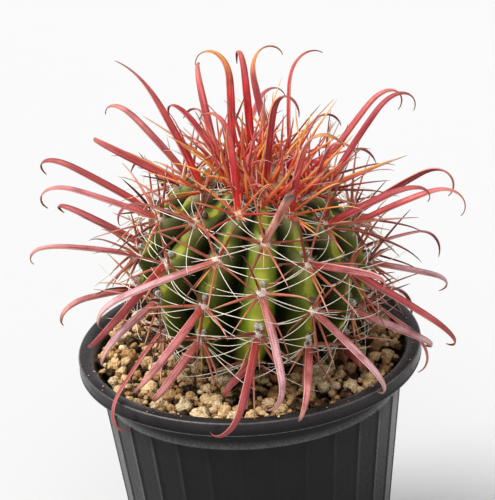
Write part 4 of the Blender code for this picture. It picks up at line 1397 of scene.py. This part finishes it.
def grow_sides(bundle, areole):
    high = max(0.0, math.sin(areole.latitude))
    behind = 0.5 - 0.5 * math.cos(areole.azimuth)
    length = blended(SIDE_LENGTH, SIDE_LENGTH_CROWN, max(high, 0.55 * behind))
    young = areole.age < YOUNG
    count = SIDE_SPINES_CROWN if young else SIDE_SPINES
    for i in range(count):
        wander = 13 * math.sin(3.1 * areole.rib + 1.7 * areole.row + 2.2 * i)
        around = math.radians(360 * i / count + wander)
        rise = SIDE_RISE_CROWN if young else SIDE_RISE
        rise += 14 * math.sin(areole.rib + 2.9 * i + areole.row)
        reach = length * (1 + 0.20 * math.sin(5.3 * areole.rib + 4.1 * i))
        tone = 0.5 + 0.5 * math.sin(areole.seed * 2.1 + 1.9 * i)
        hook = 38 * max(0.0, math.sin(areole.seed + 2.6 * i))
        sizes = needle_sizes(SIDE_THICKNESS * (1 + 0.15 * math.sin(4 * i + areole.seed)))
        grow_free(bundle, areole, around, rise, reach, 8.0, hook, sizes, 8, tone)
    down = math.radians(-90 + 18 * math.sin(areole.seed))
    grow_free(bundle, areole, down, DOWN_RISE, DOWN_LENGTH, 6.0, 0.0, needle_sizes(DOWN_THICKNESS),
              7, 0.2, lit=0.8)


side_finish = side_spine_finish()
grow_on_ribs("side_spines", side_finish, "spine", grow_sides)

# %% [markdown]
# ## The white bristles
# Between the stout spines lies a fan of thin white bristles. They spread sideways, close to the skin,
# and reach those of the next rib. They bow back towards the stem and up towards the crown, so each
# pair of ribs is joined by shallow white arcs. Those of the youngest areoles are short and curly.

# %% Bristles
BRISTLES_EACH_SIDE = 3
BRISTLE_LENGTH = 0.024
BRISTLE_LENGTH_CROWN = 0.015
BRISTLE_THICKNESS = 0.00046
BRISTLE_SPREAD = 34                 # degrees that the bristles of one side fan out
BRISTLE_SPREAD_CROWN = 90
BRISTLE_RISE = 17
BRISTLE_SAG_CROWN = 90.0
BRISTLE_HOOK = 14.0
BRISTLE_PROUD = 0.0005
BRISTLE_STEPS = 9


def grow_bristles(bundle, areole):
    young = areole.age < YOUNG
    for side in (0, 1):
        for i in range(BRISTLES_EACH_SIDE):
            spread = BRISTLE_SPREAD_CROWN if young else BRISTLE_SPREAD
            spread *= i / (BRISTLES_EACH_SIDE - 1) - 0.5
            wander = 15 * math.sin(areole.seed * 1.7 + 3.3 * i + 2 * side)
            around = math.radians(180 * side + (spread + wander - 14) * (1 - 2 * side))
            rise = math.radians(BRISTLE_RISE + 7 * math.sin(areole.seed + 2.1 * i + side))
            length = BRISTLE_LENGTH_CROWN if young else BRISTLE_LENGTH
            length *= 1 + 0.26 * math.sin(2.7 * i + areole.seed + 1.3 * side)
            level = areole.right * math.cos(around) + areole.crownward * math.sin(around)
            heading = (level * math.cos(rise) + areole.out * math.sin(rise)).normalized()
            bow = areole.crownward * (0.9 + 0.4 * math.sin(areole.seed + 2.3 * i)) - areole.out
            curl = (bow - heading * heading.dot(bow)).normalized()
            root = areole.foot + areole.out * 0.0008 + level * 0.0013
            sag = 30.0 + 20.0 * math.sin(areole.seed * 2.9 + 1.7 * i + side)
            path = curved_path(root, heading, curl, length, BRISTLE_SAG_CROWN if young else sag,
                               BRISTLE_HOOK, BRISTLE_STEPS, 1)
            sizes = [BRISTLE_THICKNESS * blended(1.0, 0.45, (n / BRISTLE_STEPS) ** 1.5)
                     for n in range(BRISTLE_STEPS + 1)]
            path = [lifted_clear(point, BRISTLE_PROUD) for point in path]
            bundle.grow(path, heading.cross(curl), sizes, sizes, 4, areole.age, 0.5)


def lifted_clear(point, proud):
    """Move a point that sank into the ribs' outline or the gravel back out of it."""
    offset = point - STEM_CENTRE
    across = math.hypot(offset.dot(STEM_RIGHT), offset.dot(STEM_BACK)) / STEM_RADIUS
    ratio = math.hypot(across, offset.dot(STEM_AXIS) / STEM_HALF_HEIGHT)
    if ratio < 1 + proud / STEM_RADIUS:
        point = STEM_CENTRE + offset * (1 + proud / STEM_RADIUS) / ratio
    away = math.hypot(point.x, point.y)
    floor = RIM_TOP if mouth_radius(RIM_TOP) < away < RIM_RADIUS else GRAVEL_TOP
    if away < RIM_RADIUS and point.z < floor + proud:
        point = Vector((point.x, point.y, floor + proud))
    return point


white = bristle_finish()
grow_on_ribs("bristles", white, "spine", grow_bristles)

# %% [markdown]
# ## Wool
# An areole is a pad of felt: short tangled hairs, cream when young and paler and pinker when old. A
# small dented mound gives it body, and short curved hairs all over it break its outline. The growing
# point in the crown is the same thing on a larger scale, so both use one function.

# %% Wool finish and tufts
TUFT_SIZES = (0.0026, 0.0030, 0.0020)       # half sizes across, along and out
TUFT_PROUD = 0.0007
TUFT_HAIRS = 72
TUFT_HAIR_LENGTH = 0.0027
HAIR_SIZES = [0.00016, 0.00015, 0.00012, 0.00009, 0.00004]


def wool_finish():
    finish = Finish("wool", 0.95, specular=0.1)
    finish.shader.inputs["Sheen Weight"].default_value = 0.4
    finish.shader.inputs["Sheen Roughness"].default_value = 0.5
    age = finish.number("age")
    tangle = finish.noise(0.0007, detail=4.0, rough=0.7)
    fresh = finish.ramp(tangle, (0.3, (0.66, 0.44, 0.20)), (0.58, (0.95, 0.82, 0.58)))
    worn = finish.ramp(tangle, (0.3, (0.58, 0.42, 0.34)), (0.55, (0.96, 0.86, 0.80)))
    finish.colour(finish.mix(finish.span(age, 0.1, 0.6), fresh, worn))
    finish.bump(tangle, 0.0005)
    return finish.material


def add_tuft(bundle, foot, axes, sizes, age, hairs, hair_length, seed):
    """A dented mound of felt with short hairs all over it."""
    right, along, out = axes
    points, faces = ball(3 if hairs > 100 else 2)
    first = len(bundle.vertices)
    shift = Vector((seed * 1.9, seed * 0.7, seed * 2.3))
    for point in points:
        dent = 1 + 0.30 * noise.noise(point * 2.2 + shift) + 0.14 * noise.noise(point * 6 + shift)
        bundle.vertices.append(foot + (right * point.x * sizes[0] + along * point.y * sizes[1]
                                       + out * point.z * sizes[2]) * dent)
    for name, value in (("along", 0.5), ("run", 0.0), ("across", 0.0), ("age", age),
                        ("tone", 0.5), ("lit", 0.0)):
        bundle.numbers[name] += [value] * len(points)
    bundle.faces += [tuple(first + i for i in face) for face in faces]
    for i in range(hairs):
        turn = math.radians(GOLDEN_ANGLE * i)
        reach = math.sqrt((i + 0.5) / hairs)
        lift = math.sqrt(max(0.0, 1 - reach ** 2))
        spoke = right * math.cos(turn) + along * math.sin(turn)
        root = foot + (right * math.cos(turn) * sizes[0] * reach
                       + along * math.sin(turn) * sizes[1] * reach + out * lift * sizes[2]) * 0.92
        lean = 0.9 * reach + 0.5 * math.sin(seed + 3.7 * i)
        heading = (out + spoke * lean + right * 0.5 * math.sin(2.3 * i + seed)).normalized()
        curl = heading.cross(spoke.cross(out) + out * math.sin(5.1 * i)).normalized()
        length = hair_length * (0.7 + 0.45 * math.sin(4.3 * i + seed))
        path = curved_path(root, heading, curl, length, 55.0, 40.0, 4, 1)
        bundle.grow(path, heading.cross(curl), HAIR_SIZES, HAIR_SIZES, 3, age, 0.5)


def grow_wool(bundle, areole):
    size = blended(1.0, 0.8, areole.age)
    add_tuft(bundle, areole.foot + areole.out * TUFT_PROUD,
             (areole.right, areole.crownward, areole.out), [size * part for part in TUFT_SIZES],
             areole.age, TUFT_HAIRS, TUFT_HAIR_LENGTH, areole.seed)


felt = wool_finish()
grow_on_ribs("areole_wool", felt, "wool", grow_wool)

# %% [markdown]
# ## Nectar glands
# Just above many areoles sit one or two blunt, pale nubs. They are glands that drip nectar in spring
# and dry out grey afterwards. Each is a small lump, so the stones' function makes them too.

# %% Glands
def gland_finish():
    finish = Finish("gland", 0.6, specular=0.3)
    specks = finish.noise(0.0006, detail=3.0, rough=0.7)
    tone = finish.number("tone")
    pale = finish.ramp(specks, (0.38, (0.10, 0.085, 0.075)), (0.5, (0.56, 0.52, 0.46)),
                       (0.7, (0.88, 0.84, 0.78)))
    dark = finish.ramp(specks, (0.4, (0.05, 0.04, 0.035)), (0.7, (0.26, 0.22, 0.18)))
    finish.colour(finish.mix(finish.span(tone, 0.4, 0.6), dark, pale))
    finish.bump(specks, 0.0004)
    return finish.material


GLAND_SIZES = [0.00125, 0.0013, 0.0018]
GLAND_ABOVE = 0.0044                # how far above its areole a gland sits
GLAND_PROUD = 0.0009
GLAND_GAP = 0.0016                  # between the two of a pair
glands = Heap()
for areole in areoles:
    if areole.row < 0:
        continue
    for i in range(1 + areole.seed % 2):
        slide = (GLAND_GAP * (i - 0.5) if areole.seed % 2 else 0.0) + 0.0004 * math.sin(areole.seed)
        height = areole.latitude + GLAND_ABOVE / STEM_HALF_HEIGHT
        spot = (stem_point(height, areole.azimuth) + areole.right * slide
                + areole.out * GLAND_PROUD)
        turn = Matrix((areole.right, areole.crownward, areole.out)).transposed().to_quaternion()
        glands.lump(spot, GLAND_SIZES, turn, 3, 0.30,
                    0.7 if (areole.seed + i) % 3 else 0.3, areole.seed + i)
glands.make("nectar_glands", gland_finish(), "wool")

# %% [markdown]
# ## The growing point
# The crown is where everything starts: a nest of cream wool, full of short new spines. They stand
# nearly straight up in the middle and lean outward at the edge. New spines are the reddest and most
# orange of all, and their tips are still amber. Pale curly bristles tangle between them.

# %% Crown
CROWN_NEW_SPINES = 72
CROWN_CURLS = 150
CROWN_REACH = 0.0160
CROWN_WOOL_SIZES = (0.0085, 0.0085, 0.0040)
CROWN_WOOL_SUNK = 0.0012
CROWN_HAIRS = 420
CROWN_HAIR_LENGTH = 0.0042


def crown_place(i, count, start, widen):
    """Root, outward direction and share of the way out, of one of many round the crown."""
    turn = math.radians(GOLDEN_ANGLE * i + start)
    reach = widen * math.sqrt((i + 0.5) / count)
    spoke = STEM_RIGHT * math.cos(turn) + STEM_BACK * math.sin(turn)
    drop = STEM_HALF_HEIGHT * (1 - math.sqrt(1 - (CROWN_REACH * reach / STEM_RADIUS) ** 2))
    return crown_foot + spoke * CROWN_REACH * reach - STEM_AXIS * (drop + 0.0005), spoke, reach


bundle = Bundle()
add_tuft(bundle, crown_foot - STEM_AXIS * CROWN_WOOL_SUNK, (STEM_RIGHT, STEM_BACK, STEM_AXIS),
         CROWN_WOOL_SIZES, 0.0, CROWN_HAIRS, CROWN_HAIR_LENGTH, 3.0)
bundle.make("crown_wool", felt, "wool", ["crown_tuft"])

# %% [markdown]
# ## New spines and curls
# The new spines use the side spines' shape and finish, at age 0. The curls have the bristles' finish.
# They are as thin as hairs and turn through more than a right angle, each its own way, so together
# they look felted.

# %% New spines and curls
CROWN_LEAN = 0.68                   # lean of the outermost new spines
CROWN_LENGTHS = (0.014, 0.030)      # of the innermost and the outermost
CURL_LENGTH = 0.012
CURL_THICKNESS = 0.0004
bundle = Bundle()
for i in range(CROWN_NEW_SPINES):
    root, spoke, reach = crown_place(i, CROWN_NEW_SPINES, 0, 1.0)
    lean = CROWN_LEAN * reach + 0.22 * math.sin(3.9 * i)
    swerve = spoke.cross(STEM_AXIS) * 0.35 * math.sin(7.7 * i)
    heading = (STEM_AXIS + spoke * lean + swerve).normalized()
    curl = heading.cross(STEM_AXIS.cross(spoke + swerve)).normalized()
    length = blended(*CROWN_LENGTHS, reach) * (1 + 0.3 * math.sin(2.9 * i))
    path = curved_path(root, heading, curl, length, 10.0, 30.0 * (i % 3 == 0), SIDE_STEPS, 1)
    sizes = needle_sizes(0.00145 + 0.0004 * math.sin(5.5 * i))
    bundle.grow(path, heading.cross(curl), sizes, sizes, 7, 0.0, 0.5 + 0.5 * math.sin(1.7 * i))
bundle.make("crown_spines", side_finish, "spine")
bundle = Bundle()
for i in range(CROWN_CURLS):
    root, spoke, reach = crown_place(i, CROWN_CURLS, 40, 1.15)
    heading = (STEM_AXIS + spoke * (0.5 + 0.6 * math.sin(4.7 * i))
               + spoke.cross(STEM_AXIS) * 0.8 * math.sin(3.3 * i)).normalized()
    curl = heading.cross(STEM_AXIS + spoke * math.sin(1.9 * i)).normalized()
    length = CURL_LENGTH * (1 + 0.35 * math.sin(2.6 * i))
    path = curved_path(root, heading, curl, length, 110.0, 70.0 * math.sin(5.9 * i), SIDE_STEPS, 1)
    sizes = [CURL_THICKNESS * blended(1.0, 0.4, (n / SIDE_STEPS) ** 2)
             for n in range(SIDE_STEPS + 1)]
    bundle.grow(path, heading.cross(curl), sizes, sizes, 4, 0.0, 0.5)
bundle.make("crown_curls", white, "wool")

# %% [markdown]
# ## Crumbs on the collar
# A real pot isn't clean. Some grit lies on the flat collar where it fell when the pot was filled. The
# crumbs are tiny stones, thrown with a fixed seed so that they lie the same way each time.

# %% Crumbs
CRUMBS = 46
random.seed(7)
crumbs = Heap()
for i in range(CRUMBS):
    turn = random.uniform(0, math.tau)
    away = random.uniform(RIM_RADIUS - RIM_TOP_WIDTH + 0.0006, RIM_RADIUS - 0.0012)
    size = random.uniform(0.00018, 0.00050) * (1.5 if i % 9 == 0 else 1.0)
    spot = Vector((away * math.cos(turn), away * math.sin(turn), RIM_TOP + size * 0.35))
    crumbs.lump(spot, [size, size * random.uniform(0.6, 1.0), size * 0.6],
                Matrix.Rotation(turn, 3, "Z").to_quaternion(), 2, 0.3, random.uniform(0.15, 0.9),
                random.random() * 30)
crumbs.make("collar_crumbs", pumice_finish, "pumice")

# %% [markdown]
# ## The studio
# The plant stands on a plain pale floor between pale walls, under a darker ceiling. A large soft lamp,
# high on the left, models the ribs. A broader one in front keeps the shadows open, and a weak one on
# the right draws a thin bright edge. Lamps that look as wide as these give shadows soft edges.

# %% Floor
FLOOR_SIZE = 8.0
FLOOR_GREYS = ((0.572, 0.572, 0.572), (0.579, 0.579, 0.579))
FLOOR_DROP = 0.0002                 # keeps it from flickering against the pot's base


def floor_finish():
    finish = Finish("floor", 0.9, specular=0.0)
    cloud = finish.noise(0.8)
    finish.colour(finish.mix(finish.span(cloud, 0.3, 0.7), *FLOOR_GREYS))
    return finish.material


half = FLOOR_SIZE / 2
floor_mesh = bpy.data.meshes.new("floor")
floor_mesh.from_pydata([(-half, -half, 0), (half, -half, 0), (half, half, 0), (-half, half, 0)], [],
                       [(0, 1, 2, 3)])
floor_mesh.materials.append(floor_finish())
floor = bpy.data.objects.new("floor", floor_mesh)
floor.location.z = -FLOOR_DROP
bpy.context.scene.collection.objects.link(floor)
floor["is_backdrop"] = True

# %% Light
SKY_PALE = 0.97                 # brightness of the sky near the horizon, where it looks like a wall
SKY_DEEP = 0.12                 # and overhead
CONTRAST = 0.85                 # gamma below 1 darkens the mid tones a little
LAMPS = (("key_lamp", (-0.70, -0.06, 1.20), 40, 3.95),      # name, direction, softness, strength
         ("edge_lamp", (0.9, 0.25, 0.6), 20, 0.22),
         ("front_lamp", (-0.10, -1.0, 1.60), 50, 0.95))


def add_sun(name, towards, softness, strength):
    """A lamp so far away that its light is even; softness is how wide it looks, in degrees."""
    lamp = bpy.data.lights.new(name, "SUN")
    lamp.angle = math.radians(softness)
    lamp.energy = strength
    holder = bpy.data.objects.new(name, lamp)
    holder.rotation_euler = (-Vector(towards)).to_track_quat("-Z", "Y").to_euler()
    bpy.context.scene.collection.objects.link(holder)


def make_sky():
    """A studio's surroundings: pale walls low down, and a darker ceiling."""
    world = bpy.data.worlds.new("sky")
    world.use_nodes = True
    nodes, links = world.node_tree.nodes, world.node_tree.links
    height = nodes.new("ShaderNodeSeparateXYZ")
    links.new(nodes.new("ShaderNodeTexCoord").outputs["Generated"], height.inputs[0])
    fade = nodes.new("ShaderNodeMapRange")
    for name, value in (("From Min", 0.25), ("From Max", 0.65), ("To Min", SKY_PALE),
                        ("To Max", SKY_DEEP)):
        fade.inputs[name].default_value = value
    links.new(height.outputs["Z"], fade.inputs["Value"])
    links.new(fade.outputs["Result"], nodes["Background"].inputs["Strength"])
    nodes["Background"].inputs["Color"].default_value = (1, 1, 1, 1)
    return world


scene = bpy.context.scene
scene.world = make_sky()
scene.view_settings.view_transform = "Standard"
scene.view_settings.gamma = CONTRAST
for lamp in LAMPS:
    add_sun(*lamp)
print("lamps:", len(LAMPS))

# %% [markdown]
# ## The camera
# The camera looks at the plant from the front and a little above, through a long lens, so the pot's
# collar is a flat oval and its sides hardly converge. Its place is given by the tilt, the roll and
# the distance to the middle of the pot's mouth.

# %% Camera
TILT = math.radians(24.5)
ROLL = math.radians(4.0)
MOUTH_IN_VIEW = Vector((0.011, -0.533, 14.757)) * RIM_RADIUS   # right, up and away from the camera
LENS = 182.16

level = Matrix(((1, 0, 0), (0, math.sin(TILT), math.cos(TILT)),
                (0, math.cos(TILT), -math.sin(TILT))))
rolled = Matrix(((math.cos(ROLL), -math.sin(ROLL), 0), (math.sin(ROLL), math.cos(ROLL), 0),
                 (0, 0, 1))) @ level
camera_data = bpy.data.cameras.new("camera")
camera_data.lens = LENS
camera_data.sensor_width = 36.0
camera_data.sensor_fit = "AUTO"
camera_data.clip_end = 50.0
camera = bpy.data.objects.new("camera", camera_data)
turned = Matrix((rolled[0], rolled[1], -rolled[2])).transposed().to_4x4()
place = Vector((0, 0, RIM_TOP)) - rolled.transposed() @ MOUTH_IN_VIEW
camera.matrix_world = Matrix.Translation(place) @ turned
scene.collection.objects.link(camera)
scene.camera = camera
print("camera at", [round(value, 3) for value in place])

# %% [markdown]
# ## Sizes, and the end
# The dressed model's box is measured and its size printed.

# %% Measure the dressed model's box
visual_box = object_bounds()
sizes = {"cad": [list(corner) for corner in cad_box],
         "visual": [list(corner) for corner in visual_box]}
print("visual box:", [round(side, 4) for side in visual_box[1] - visual_box[0]], "m")
